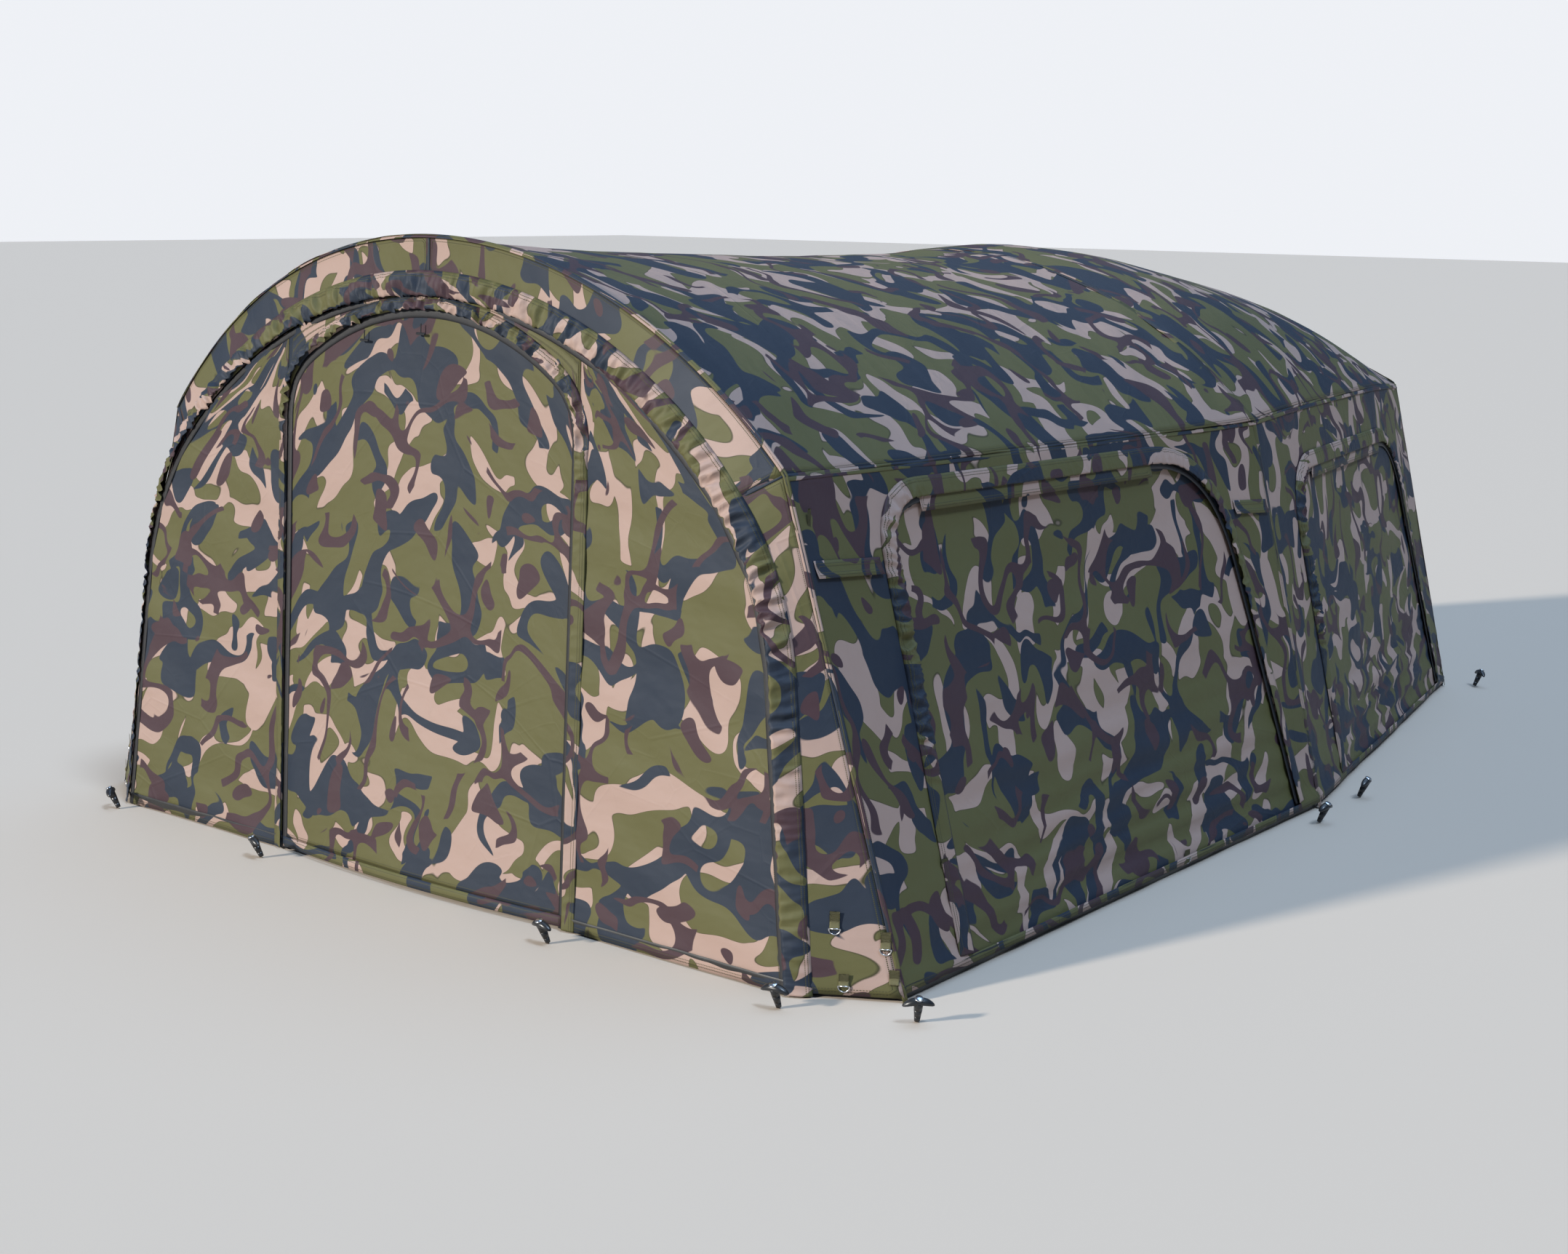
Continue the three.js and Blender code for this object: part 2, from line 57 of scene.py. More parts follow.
EYE = Vector((4.703, -6.225, 1.829))
YAW, PITCH, ROLL = 0.706, 0.181, 0.011
LENS = 55.07

forward = Vector((-math.sin(YAW) * math.cos(PITCH), math.cos(YAW) * math.cos(PITCH), -math.sin(PITCH)))
level = Vector((math.cos(YAW), math.sin(YAW), 0))
upright = level.cross(forward)
right = level * math.cos(ROLL) + upright * math.sin(ROLL)
up = upright * math.cos(ROLL) - level * math.sin(ROLL)

camera_data = bpy.data.cameras.new("camera")
camera_data.lens = LENS
camera_data.sensor_width = 36
camera = bpy.data.objects.new("camera", camera_data)
scene.collection.objects.link(camera)
turn = Matrix((right, up, -forward)).transposed().to_4x4()
camera.matrix_world = Matrix.Translation(EYE) @ turn
scene.camera = camera

# ---------------- the shape that the ribs give the cloth
# Three ribs carry the cloth: a wide front one, the middle one, and a low rear one. Each has a round top
# between its elbows and straight legs to its feet. Roofs run between the tops, walls between the legs.

Rib = namedtuple("Rib", "elbow elbow_height crown foot elbow_y crown_y foot_y")
FRONT = Rib(1.159, 1.186, 1.700, 1.525, -2.071, -2.120, -2.055)
MIDDLE = Rib(1.063, 1.155, 1.640, 1.370, 0.228, 0.096, 0.196)
REAR = Rib(0.593, 1.132, 1.290, 0.830, 2.113, 2.055, 2.180)

FRONT_ROOF_SAG = -0.032
REAR_ROOF_CROWN = 0.095
SWELL_CENTRE = 0.300
HEM_HEIGHT = 0.003
SIDES = (("left", -1), ("right", 1))


def mix(a, b, share):
    return a + (b - a) * share


def smoothstep(low, high, value):
    share = min(1, max(0, (value - low) / (high - low)))
    return share * share * (3 - 2 * share)


def rib_point(rib, t):
    """A point on a rib's round top, from its left elbow (t = -1) to its right one (t = 1)."""
    rise = rib.crown - rib.elbow_height
    radius = (rib.elbow ** 2 + rise ** 2) / (2 * rise)
    angle = t * math.asin(rib.elbow / radius)
    y = mix(rib.crown_y, rib.elbow_y, abs(t) ** 1.5)
    return Vector((radius * math.sin(angle), y, rib.crown - radius * (1 - math.cos(angle))))


def roof_point(start, end, belly, t, s):
    point = rib_point(start, t).lerp(rib_point(end, t), s)
    outward = (point - Vector((0, point.y, SWELL_CENTRE))).normalized()
    swell = belly * (1 - abs(2 * s - 1) ** 3) * (1 - 0.7 * abs(t) ** 4)
    return point + outward * swell


def front_roof(t, s):
    return roof_point(FRONT, MIDDLE, FRONT_ROOF_SAG, t, s)


def rear_roof(t, s):
    return roof_point(MIDDLE, REAR, REAR_ROOF_CROWN, t, s)


def foot(rib, side):
    return Vector((side * rib.foot, rib.foot_y, HEM_HEIGHT))


def wall_point(start, end, roof, side, s, h):
    """A point of a side wall, from its front end (s = 0) to its rear end, and from hem (h = 0) to eave."""
    return foot(start, side).lerp(foot(end, side), s).lerp(roof(side, s), h)


def front_wall(side):
    return lambda s, h: wall_point(FRONT, MIDDLE, front_roof, side, s, h)


def rear_wall(side):
    return lambda s, h: wall_point(MIDDLE, REAR, rear_roof, side, s, h)


# ---------------- printed cloth
# Coated polyester with a four-colour camouflage print. It carries fold creases from its bag, a fine weave,
# and rows of stitching along its hems. Each panel's own UV maps give the print and the distance to its edge.

OLIVE = (0.084, 0.080, 0.029, 1)
OLIVE_EDGE = (0.034, 0.032, 0.011, 1)
SAND = (0.325, 0.230, 0.195, 1)
NAVY = (0.0120, 0.0200, 0.0360, 1)
PLUM = (0.044, 0.0225, 0.0300, 1)
THREAD = (0.052, 0.050, 0.022, 1)
FADED = (0.20, 0.19, 0.15, 1)
PRINT_SHARP = 220  # how crisp the print's edges are
PRINT_TURN = 0.62  # the motifs run up to the right
BROAD_SWIRL = (3.6, 0.13, (3.1, 7.7, 0))  # a noise's scale, its push in metres, and its offset
FINE_SWIRL = (10.5, 0.048, (9.1, 1.3, 0))
STITCH_ROWS = (0.007, 0.014)
STITCH_LENGTH = 0.0045
THREAD_HALF = 0.0009
GROOVE = 0.0105  # the groove between the two rows of stitching
CREASE_DEPTH, SMALL_CREASE_DEPTH = 0.0007, 0.0003
WEAVE_DEPTH, SOFT_DEPTH, THREAD_DEPTH, GROOVE_DEPTH = 0.00025, 0.004, 0.0005, 0.0006


class Wire:
    """A shader socket. Arithmetic on it adds Math nodes, and node() adds any other node to its tree."""

    def __init__(self, tree, socket=None):
        self.tree = tree
        self.socket = socket

    def node(self, kind, settings=None, sockets=None, out=0):
        made = self.tree.nodes.new(kind)
        for name, value in (settings or {}).items():
            setattr(made, name, value)
        for key, value in (sockets or {}).items():
            if isinstance(value, Wire):
                self.tree.links.new(value.socket, made.inputs[key])
            else:
                made.inputs[key].default_value = value
        return Wire(self.tree, made.outputs[out])

    def math(self, operation, *values):
        return self.node("ShaderNodeMath", {"operation": operation}, dict(enumerate(values)))

    def vector(self, operation, *values):
        return self.node("ShaderNodeVectorMath", {"operation": operation}, dict(enumerate(values)))

    def __add__(self, other):
        return self.math("ADD", self, other)

    def __sub__(self, other):
        return self.math("SUBTRACT", self, other)

    def __rsub__(self, other):
        return self.math("SUBTRACT", other, self)

    def __mul__(self, other):
        return self.math("MULTIPLY", self, other)

    def __truediv__(self, other):
        return self.math("DIVIDE", self, other)

    def __abs__(self):
        return self.math("ABSOLUTE", self)

    def step(self, level, sharp):
        """0 well below the level and 1 well above it, with an edge that is sharper as sharp grows."""
        return self.node("ShaderNodeClamp", {}, {0: (self - level) * sharp + 0.5})

    def blend(self, low, high):
        """The colour low where this value is 0, and high where it is 1."""
        return self.node("ShaderNodeMix", {"data_type": "RGBA"}, {0: self, 6: low, 7: high}, out=2)


def noise_at(place, scale, detail=0, out=0):
    return place.node(
        "ShaderNodeTexNoise", {"noise_dimensions": "2D"},
        {"Vector": place, "Scale": scale, "Detail": detail}, out)


def moved(place, offset, stretch=(1, 1, 1)):
    return place.node("ShaderNodeMapping", {}, {"Vector": place, "Location": offset, "Scale": stretch})


def new_material(name):
    material = bpy.data.materials.new(name)
    material.use_nodes = True
    return material, Wire(material.node_tree), material.node_tree.nodes["Principled BSDF"]


def feed(material, shader, **sockets):
    """Sets or links the principled shader's sockets, named with _ for spaces."""
    for name, value in sockets.items():
        target = shader.inputs[name.replace("_", " ")]
        if isinstance(value, Wire):
            material.node_tree.links.new(value.socket, target)
        else:
            target.default_value = value


def swirled(place, scale, amount, offset):
    """The place pushed about by a soft noise, which gives the print its amoeba outlines."""
    push = noise_at(moved(place, offset), scale, out=1)
    centred = place.vector("SUBTRACT", push, (0.5, 0.5, 0.5))
    flat_push = place.vector("MULTIPLY", centred, (amount, amount, 0))
    return place.vector("ADD", place, flat_push)


Motif = namedtuple("Motif", "offset scale stretch half_width gate_scale gate_level soft lobe_level")
SAND_MOTIF = Motif((0, 0), 4.5, (0.86, 1.14, 1), 0.082, 5.2, 0.450, 0.04, 0.67)
NAVY_MOTIF = Motif((50, 4), 5.0, (0.90, 1.12, 1), 0.082, 5.2, 0.490, 0.04, 0.655)
PLUM_MOTIF = Motif((91, 13), 6.3, (0.90, 1.12, 1), 0.056, 4.8, 0.500, 0.02, 0.76)
CONTOUR_SHIFT, GATE_SHIFT, LOBE_SHIFT = (0, 0), (15, 7), (33, 2)  # each noise has its own place
GATE_SLOPE = 0.6
LOBE_SCALE, LOBE_SOFT = 1.3, 0.03


def motif_field(place, motif):
    """Above 0 inside a motif: round-ended strokes along a noise's contour, joined with its tallest lobes."""
    def own_noise(shift, scale, stretch=(1, 1, 1)):
        offset = (motif.offset[0] + shift[0], motif.offset[1] + shift[1], 0)
        return noise_at(moved(place, offset, stretch), scale)

    contour = own_noise(CONTOUR_SHIFT, motif.scale, motif.stretch)
    gate = (own_noise(GATE_SHIFT, motif.gate_scale) - motif.gate_level) * GATE_SLOPE
    stroke = contour.math("SMOOTH_MIN", motif.half_width - abs(contour - 0.5), gate, motif.soft)
    lobe = own_noise(LOBE_SHIFT, motif.scale * LOBE_SCALE, motif.stretch) - motif.lobe_level
    return contour.math("SMOOTH_MAX", stroke, lobe, LOBE_SOFT)


def printed(place):
    """The four-colour print at a place on the cloth, in metres."""
    turned = place.node("ShaderNodeMapping", {}, {"Vector": place, "Rotation": (0, 0, -PRINT_TURN)})
    amoeba = swirled(swirled(turned, *BROAD_SWIRL), *FINE_SWIRL)
    sand = motif_field(amoeba, SAND_MOTIF)
    navy = motif_field(amoeba, NAVY_MOTIF)
    plum = motif_field(amoeba, PLUM_MOTIF)
    colour = sand.step(-0.005, PRINT_SHARP).blend(OLIVE, OLIVE_EDGE)
    colour = sand.step(0, PRINT_SHARP).blend(colour, SAND)
    colour = navy.step(0, PRINT_SHARP).blend(colour, NAVY)
    return plum.step(0, PRINT_SHARP).blend(colour, PLUM)


def crease_height(place):
    """Straight creases left by folding: the borders of large cells, pressed in here and there."""
    borders = place.node(
        "ShaderNodeTexVoronoi", {"voronoi_dimensions": "2D", "feature": "DISTANCE_TO_EDGE"},
        {"Vector": moved(place, (1.7, 0.4, 0), (1, 1.6, 1)), "Scale": 2.6})
    fine = place.node(
        "ShaderNodeTexVoronoi", {"voronoi_dimensions": "2D", "feature": "DISTANCE_TO_EDGE"},
        {"Vector": swirled(place, 2.0, 0.05, (5, 5, 0)), "Scale": 7.5})
    pressed = noise_at(moved(place, (8, 3, 0)), 1.7).step(0.56, 7)
    fine_pressed = noise_at(moved(place, (2, 9, 0)), 2.6).step(0.58, 6)
    sharp = (1 - borders.step(0.012, 45)) * pressed
    small = (1 - fine.step(0.02, 30)) * fine_pressed
    return sharp * CREASE_DEPTH + small * SMALL_CREASE_DEPTH


def stitch_mask(edge):
    """1 on the threads of two rows of stitching beside a panel's edge. edge is (along, in from the edge)."""
    split = edge.node("ShaderNodeSeparateXYZ", {}, {0: edge})
    inward = Wire(split.tree, split.socket.node.outputs[1])
    dash = split.math("FRACT", split / STITCH_LENGTH).step(0.3, 8)
    rows = [1 - abs(inward - row).step(THREAD_HALF, 2500) for row in STITCH_ROWS]
    return (rows[0] + rows[1]) * dash, inward


def cloth_material(name):
    material, wires, shader = new_material(name)
    place = wires.node("ShaderNodeUVMap", {"uv_map": "cloth"})
    edge = wires.node("ShaderNodeUVMap", {"uv_map": "edge"})
    thread, inward = stitch_mask(edge)
    fading = noise_at(place, 6, 3)
    colour = printed(place)
    colour = (fading * 0.05).blend(colour, FADED)
    colour = thread.blend(colour, THREAD)
    weave = noise_at(moved(place, (0, 0, 0), (1, 1.3, 1)), 900)
    soft = noise_at(moved(place, (4, 4, 0), (1, 1.5, 1)), 9, 2)
    groove = 1 - abs(inward - GROOVE).step(0.0025, 500)
    height = (crease_height(place) + weave * WEAVE_DEPTH + soft * SOFT_DEPTH + thread * THREAD_DEPTH
              + groove * GROOVE_DEPTH)
    bump = wires.node("ShaderNodeBump", {}, {"Strength": 0.9, "Distance": 1.0, "Height": height})
    feed(
        material, shader, Base_Color=colour, Roughness=fading * 0.15 + 0.50, Normal=bump,
        Specular_IOR_Level=0.24, Sheen_Weight=0.01, Sheen_Roughness=0.4)
    return material


camouflage = cloth_material("camouflage_cloth")

# ---------------- plain finishes
# Moulded, metal and coated surfaces share one finish with a fine grain and slight scuffs.


def plain_material(name, colour, roughness, metallic=0.0, grain=400, grain_depth=0.00004, wear=0.1):
    """A finish read in object space. grain is its fineness, and wear the strength of its scuffs."""
    material, wires, shader = new_material(name)
    place = wires.node("ShaderNodeTexCoord", out=3)
    grains = place.node("ShaderNodeTexNoise", {}, {"Vector": place, "Scale": grain, "Detail": 3.0})
    scuffs = place.node("ShaderNodeTexNoise", {}, {"Vector": place, "Scale": 45.0, "Detail": 5.0})
    worn = scuffs.step(0.62, 9) * wear
    lighter = tuple(min(1, c * 2.2 + 0.03) for c in colour[:3]) + (1,)
    bump = place.node(
        "ShaderNodeBump", {}, {"Strength": 0.6, "Distance": 1.0, "Height": grains * grain_depth})
    feed(
        material, shader, Base_Color=worn.blend(colour, lighter), Roughness=worn * 0.6 + roughness,
        Metallic=metallic, Normal=bump)
    return material


# ---------------- sheets
# Each panel of cloth is a grid, bent onto a smooth surface and then wrinkled.

CLOTH_THICKNESS = 0.0008
CELL = 0.020
HEM_ROLL = 0.0035  # how far a turned hem stands out
LINE_STEPS = 24
WELD = 0.0002
BROAD_WAVE, SMALL_WAVE = 0.004, 0.0015  # the height of the waves in a taut panel


def surface_normal(surface, u, v):
    step = 0.002
    low_u, high_u = max(0, u - step), min(1, u + step)
    low_v, high_v = max(0, v - step), min(1, v + step)
    across = surface(high_u, v) - surface(low_u, v)
    along = surface(u, high_v) - surface(u, low_v)
    return across.cross(along).normalized()


def path_length(points):
    return sum((b - a).length for a, b in zip(points, points[1:]))


def length_along(surface, axis, fixed=0.5):
    """The length of a surface's line across it (axis 0) or up it (axis 1), at a share of the other way."""
    shares = [i / LINE_STEPS for i in range(LINE_STEPS + 1)]
    return path_length([surface(share, fixed) if axis == 0 else surface(fixed, share) for share in shares])


def pattern_size(surface):
    """The width and height of the rectangle that a panel is cut from: its longest lines across and up."""
    return tuple(
        max(length_along(surface, axis, fixed) for fixed in (0, 0.25, 0.5, 0.75, 1)) for axis in (0, 1))


def unit_grid(columns, rows, **maps):
    """A flat grid, one unit wide and high, with a UV map for each given function of u and v."""
    bm = bmesh.new()
    bmesh.ops.create_grid(bm, x_segments=columns, y_segments=rows, size=0.5)
    layers = [(bm.loops.layers.uv.new(name), place) for name, place in maps.items()]
    for face in bm.faces:
        for loop in face.loops:
            for layer, place in layers:
                loop[layer].uv = place(loop.vert.co.x + 0.5, loop.vert.co.y + 0.5)
    return bm


def grid_places(bm):
    """Each vertex of a unit grid with its u and v."""
    return [(vert, vert.co.x + 0.5, vert.co.y + 0.5) for vert in bm.verts]


def finish_mesh(name, bm, material):
    """Turns a bmesh into a shown object, at the origin, with one material."""
    mesh = bpy.data.meshes.new(name)
    for face in bm.faces:
        face.smooth = True
    bm.to_mesh(mesh)
    bm.free()
    mesh.materials.append(material)
    piece = bpy.data.objects.new(name, mesh)
    scene.collection.objects.link(piece)
    return piece


def sewn_piece(name, bm, material, body):
    """A piece of cloth made from a bmesh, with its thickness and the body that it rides."""
    piece = finish_mesh(name, bm, material)
    shell = piece.modifiers.new("thickness", "SOLIDIFY")
    shell.thickness = CLOTH_THICKNESS
    shell.offset = -1
    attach(piece, body)
    return piece


def face_out(bm, outward):
    """Turns a band's faces over, where its middle one faces away from outward(place)."""
    bm.faces.ensure_lookup_table()
    bm.normal_update()
    middle = bm.faces[len(bm.faces) // 2]
    if middle.normal.dot(outward(middle.calc_center_median())) < 0:
        bmesh.ops.reverse_faces(bm, faces=bm.faces)


def cloth_panel(name, surface, relief=None, print_at=(0, 0), cell=CELL, keep=None, body="shelter",
                material=camouflage, hem=0.0, lay=None, cut=None):
    """A sewn panel of cloth bent onto surface(u, v), with u across and v up, and its outer face outwards.

    relief(point, u, v) lifts the cloth along its normal, keep(u, v) says where there is cloth, and hem is
    the height of the turned and padded edge along its foot. lay(u, v) gives the place on the print, where
    the panel is one cloth with its neighbour. The sheet's flat size, that of the smooth surface before any
    wrinkle is made, or cut where the pattern is a crescent, is worked out but not kept."""
    width, height = length_along(surface, 0), length_along(surface, 1)

    def on_print(u, v):
        return u * width + print_at[0], v * height + print_at[1]

    def from_edge(u, v):
        from_side, from_end = min(u, 1 - u) * width, min(v, 1 - v) * height
        return v * height if from_side < from_end else u * width, min(from_side, from_end)

    bm = unit_grid(
        max(2, round(width / cell)), max(2, round(height / cell)), cloth=lay or on_print, edge=from_edge)
    if keep:
        middles = [(face, face.calc_center_median()) for face in bm.faces]
        outside = [face for face, middle in middles if not keep(middle.x + 0.5, middle.y + 0.5)]
        bmesh.ops.delete(bm, geom=outside, context="FACES")
    grid = grid_places(bm)
    for vert, u, v in grid:
        vert.co = surface(u, v)
    pattern_area = sum(face.calc_area() for face in bm.faces)
    for vert, u, v in grid:
        point = vert.co.copy()
        lift = relief(point, u, v) if relief else 0
        if v * height < hem:
            lift += HEM_ROLL * math.sin(math.pi * v * height / hem)
        vert.co = point + surface_normal(surface, u, v) * lift
    bmesh.ops.remove_doubles(bm, verts=bm.verts, dist=WELD)
    piece = sewn_piece(name, bm, material, body)
    cut or pattern_size(surface)
    return piece


def ripple(point, size, seed=0):
    return noise.noise(Vector((point.x / size, point.y / size + seed, point.z / size)))


def taut(point, seed=0):
    """Cloth pulled tight: broad shallow waves with a little puckering."""
    return BROAD_WAVE * ripple(point, 0.45, seed) + SMALL_WAVE * ripple(point, 0.11, seed)


# ---------------- roofs
# One sheet of cloth each, from eave to eave. The front one dips between its ribs, and the rear one is
# pushed up by the ridge pole and overlaps the front one at the middle rib.

ROOF_EDGE = 1.005  # the roofs lap a little over the walls
ROOF_CELL = 0.025
DRAG_HEIGHT = 0.0025  # slanting drag lines near the front roof's ribs
RIDGE_MARK, RIDGE_WIDTH = 0.004, 0.02  # the ridge pole's line, pressed up into the rear roof


def spread(surface, u0, u1, v0, v1):
    return lambda u, v: surface(mix(u0, u1, u), mix(v0, v1, v))


def front_roof_relief(point, u, v):
    drag = math.sin((u * 2.1 + v * 1.3) * 20 + 3 * ripple(point, 0.5))
    near_ribs = (1 - smoothstep(0, 0.25, v)) + smoothstep(0.75, 1, v)
    return taut(point) + DRAG_HEIGHT * drag * near_ribs


def rear_roof_relief(point, u, v):
    return taut(point, 7) + RIDGE_MARK * math.exp(-((u - 0.5) / RIDGE_WIDTH) ** 2)


ROOF_PRINT = {"front": (0, 0), "rear": (3.1, 2.2)}
roof_sheets = {
    "front": spread(front_roof, -ROOF_EDGE, ROOF_EDGE, -0.001, 1.0),
    "rear": spread(rear_roof, -ROOF_EDGE, ROOF_EDGE, -0.012, 1.001)}
for place, relief in (("front", front_roof_relief), ("rear", rear_roof_relief)):
    roof_cloth = cloth_panel(
        f"{place}_roof_cloth", roof_sheets[place], relief, print_at=ROOF_PRINT[place], cell=ROOF_CELL)
    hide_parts(f"{place}_roof")

# ---------------- side walls
# Each side has a front and a rear wall of cloth between the rib legs, with a window opening cut in it.
# The opening's edge is hidden under a gathered flap.

Window = namedtuple("Window", "left_foot left_top left_round top right_top right_round right_foot sill")
FRONT_OPENING = Window(0.30, 0.36, 0.14, 1.120, 1.97, 0.34, 2.13, 0.040)
REAR_OPENING = Window(0.36, 0.30, 0.20, 0.985, 1.72, 0.24, 1.86, 0.040)


def quadratic(a, b, c, count):
    return [a.lerp(b, i / count).lerp(b.lerp(c, i / count), i / count) for i in range(count + 1)]


def window_outline(opening):
    """The opening's edge in metres along the wall and up it, from its front foot over the top."""
    low_left = Vector((opening.left_foot, opening.sill))
    high_left = Vector((opening.left_top, opening.top))
    high_right = Vector((opening.right_top, opening.top))
    low_right = Vector((opening.right_foot, opening.sill))
    left_end = high_left + (low_left - high_left).normalized() * opening.left_round
    top_start = high_left + Vector((opening.left_round, 0))
    top_end = high_right - Vector((opening.right_round, 0))
    right_start = high_right + (low_right - high_right).normalized() * opening.right_round
    return [
        low_left, *quadratic(left_end, high_left, top_start, 10),
        *quadratic(top_end, high_right, right_start, 14), low_right]


def inside(outline, x, y):
    """Whether a place lies inside a closed outline."""
    crossings = 0
    for a, b in zip(outline, outline[1:] + outline[:1]):
        if (a.y > y) != (b.y > y) and x < mix(a.x, b.x, (y - a.y) / (b.y - a.y)):
            crossings += 1
    return crossings % 2 == 1


def wall_size(wall):
    return (wall(1, 0.5) - wall(0, 0.5)).length, (wall(0.5, 1) - wall(0.5, 0)).length


def facing(side, surface):
    """The same surface with its u reversed on the left side, so that the cloth faces outwards."""
    return surface if side > 0 else lambda u, v: surface(1 - u, v)


def wall_relief(point, u, v):
    low = 1 - smoothstep(0, 0.35, v)
    return taut(point, 3) + 0.003 * low * math.sin(point.z * 70 + 4 * ripple(point, 0.3))


SLACK = 0.007  # how far a cover hangs in behind its zips, so its head slides down before it
COVER_DEPTH = 0.004  # how far its edges lie behind the wall
RIPPLE, FOLD = 0.0080, 0.009


def pane_relief(point, u, v):
    """A zipped-in cover hangs slack: level ripples low down, and a belly between its zips."""
    frame_free = max(0, math.sin(math.pi * u)) ** 0.5 * smoothstep(0, 0.06, v)
    frame_free *= smoothstep(0, 0.05, 1 - v)
    low = 1 - smoothstep(0.05, 0.6, v)
    level = Vector((point.x * 0.35, point.y * 0.35, point.z * 1.4))
    wave = math.sin(point.z * 80 + 5 * ripple(level, 0.3) + 1.5 * ripple(level, 0.12))
    folds = RIPPLE * low * wave + FOLD * ripple(level, 0.15, 5) + FOLD * ripple(point, 0.6, 2)
    return frame_free * (folds - SLACK) - COVER_DEPTH


WALLS = (
    ("front", front_wall, FRONT_OPENING, ("front_wall_strip", "mid_wall_strip")),
    ("rear", rear_wall, REAR_OPENING, ("rear_wall_strip",)))
HEM_SHARE = 0.014  # the walls stop this share of their height above the ground
SIDE_HEM = 0.030
COVER_LAP = 0.03  # the covers reach this far past the openings
COVER_FOOT = 0.012
COVER_TOP = 0.02


def each_window():
    """Every window's side, place, opening and wall, with the wall's size."""
    for word, side in SIDES:
        for place, wall_of, opening, strips in WALLS:
            wall = wall_of(side)
            yield word, side, place, opening, wall, wall_size(wall), strips


def cover_print(place, side):
    return (7.7 if place == "front" else 2.9, 3.3 if side > 0 else 1.1)


for word, side, place, opening, wall, (length, height), strips in each_window():
    outline = window_outline(opening)
    turned = (lambda u: u) if side > 0 else (lambda u: 1 - u)
    roof_width, roof_length = length_along(roof_sheets[place], 0), length_along(roof_sheets[place], 1)
    first_x, first_y = ROOF_PRINT[place]

    def solid_wall(u, v):
        return not inside(outline, turned(u) * length, (HEM_SHARE + v * (1 - HEM_SHARE)) * height)

    def over_the_eave(u, v):
        down = (1 - v) * height
        x = roof_width + down if side > 0 else -down
        return first_x + x, first_y + turned(u) * roof_length

    wall_cloth = cloth_panel(
        f"{place}_side_wall_{word}", facing(side, spread(wall, -0.001, 1.001, HEM_SHARE, 1)), wall_relief,
        hem=SIDE_HEM, lay=over_the_eave, keep=solid_wall)
    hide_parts(*(f"{strip}_{word}" for strip in strips))

    from_u, to_u = (opening.left_foot - COVER_LAP) / length, (opening.right_foot + COVER_LAP) / length
    cover = cloth_panel(
        f"{place}_window_cover_{word}",
        facing(side, spread(wall, from_u, to_u, COVER_FOOT, (opening.top + COVER_TOP) / height)),
        pane_relief, print_at=cover_print(place, side))
    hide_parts(f"{place}_window_panel_{word}")
    tuple((wall(0.5, 1) - wall(0.5, 0)).normalized())
    tuple(wall(0.5, COVER_FOOT))
    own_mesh(cover)

# ---------------- window heads
# A zip runs over the head of each window. The cover's stiffened head slides down when it is unzipped.

HEAD_BELOW, HEAD_ABOVE = 0.035, 0.018
HEAD_PROUD = 0.0030
FINE_CELL = 0.012

for word, side, place, opening, wall, (length, height), _ in each_window():
    start = opening.left_top + opening.left_round
    end = opening.right_top - opening.right_round
    low, high = opening.top - HEAD_BELOW, opening.top + HEAD_ABOVE
    from_end = start - opening.left_foot if side > 0 else opening.right_foot - end
    print_x, print_y = cover_print(place, side)
    head = cloth_panel(
        f"{place}_window_head_{word}",
        facing(side, spread(wall, start / length, end / length, low / height, high / height)),
        lambda point, u, v: HEAD_PROUD, cell=FINE_CELL, body=f"{place}_window_header_{word}",
        print_at=(print_x + from_end + COVER_LAP, print_y + low - COVER_FOOT * height))
    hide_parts(f"{place}_window_header_{word}")

# ---------------- front rim and gussets
# A band of cloth runs round the front from foot to foot, between the zipped arch and the front rib. It is
# cut in two at the crown, and from each elbow a wide gusset goes down to the ground.

FRONT_WALL_Y = -2.200
FRONT_LEAN = 0.049
Arch = namedtuple("Arch", "base taper crown radius turn")
ZIP_ARCH = Arch(1.290, 0.1245, 1.550, 1.397, 0.785)
DOOR_ARCH = Arch(0.560, 0, 1.512, 0.859, 0.576)
SEAM = 0.0015


def front_point(x, height, out=0):
    """A point of the leaning front wall, from its width and its height along the cloth."""
    slope = math.hypot(1, FRONT_LEAN)
    on_wall = Vector((x, FRONT_WALL_Y + height * FRONT_LEAN / slope, HEM_HEIGHT + height / slope))
    return on_wall + Vector((0, -1, FRONT_LEAN)) * (out / slope)


def arch_half(arch):
    """Half of a round-topped outline, from its foot up to its crown: a leg, a bend and a crown arc."""
    centre = arch.crown - arch.radius
    arc_end = Vector((arch.radius * math.sin(arch.turn), centre + arch.radius * math.cos(arch.turn)))
    reach = (arch.base - arch.taper * arc_end.y - arc_end.x) / (
        math.cos(arch.turn) - arch.taper * math.sin(arch.turn))
    corner = arc_end + Vector((math.cos(arch.turn), -math.sin(arch.turn))) * reach
    leg_top = corner + Vector((arch.taper, -1)) * reach
    bend = quadratic(leg_top, corner, arc_end, 24)
    arc = [
        Vector((arch.radius * math.sin(a), centre + arch.radius * math.cos(a)))
        for a in (arch.turn * (1 - i / 40) for i in range(1, 41))]
    return [Vector((arch.base, 0)), *bend, *arc]


def walker(points):
    """A function that gives the point at a share of a path's whole length."""
    lengths = [0]
    for a, b in zip(points, points[1:]):
        lengths.append(lengths[-1] + (b - a).length)

    def at(share):
        target = min(1, max(0, share)) * lengths[-1]
        i = 1
        while i < len(points) - 1 and lengths[i] < target:
            i += 1
        return points[i - 1].lerp(points[i], (target - lengths[i - 1]) / (lengths[i] - lengths[i - 1]))

    at.length = lengths[-1]
    return at


zip_points = arch_half(ZIP_ARCH)
door_points = arch_half(DOOR_ARCH)
zip_half = walker(zip_points)


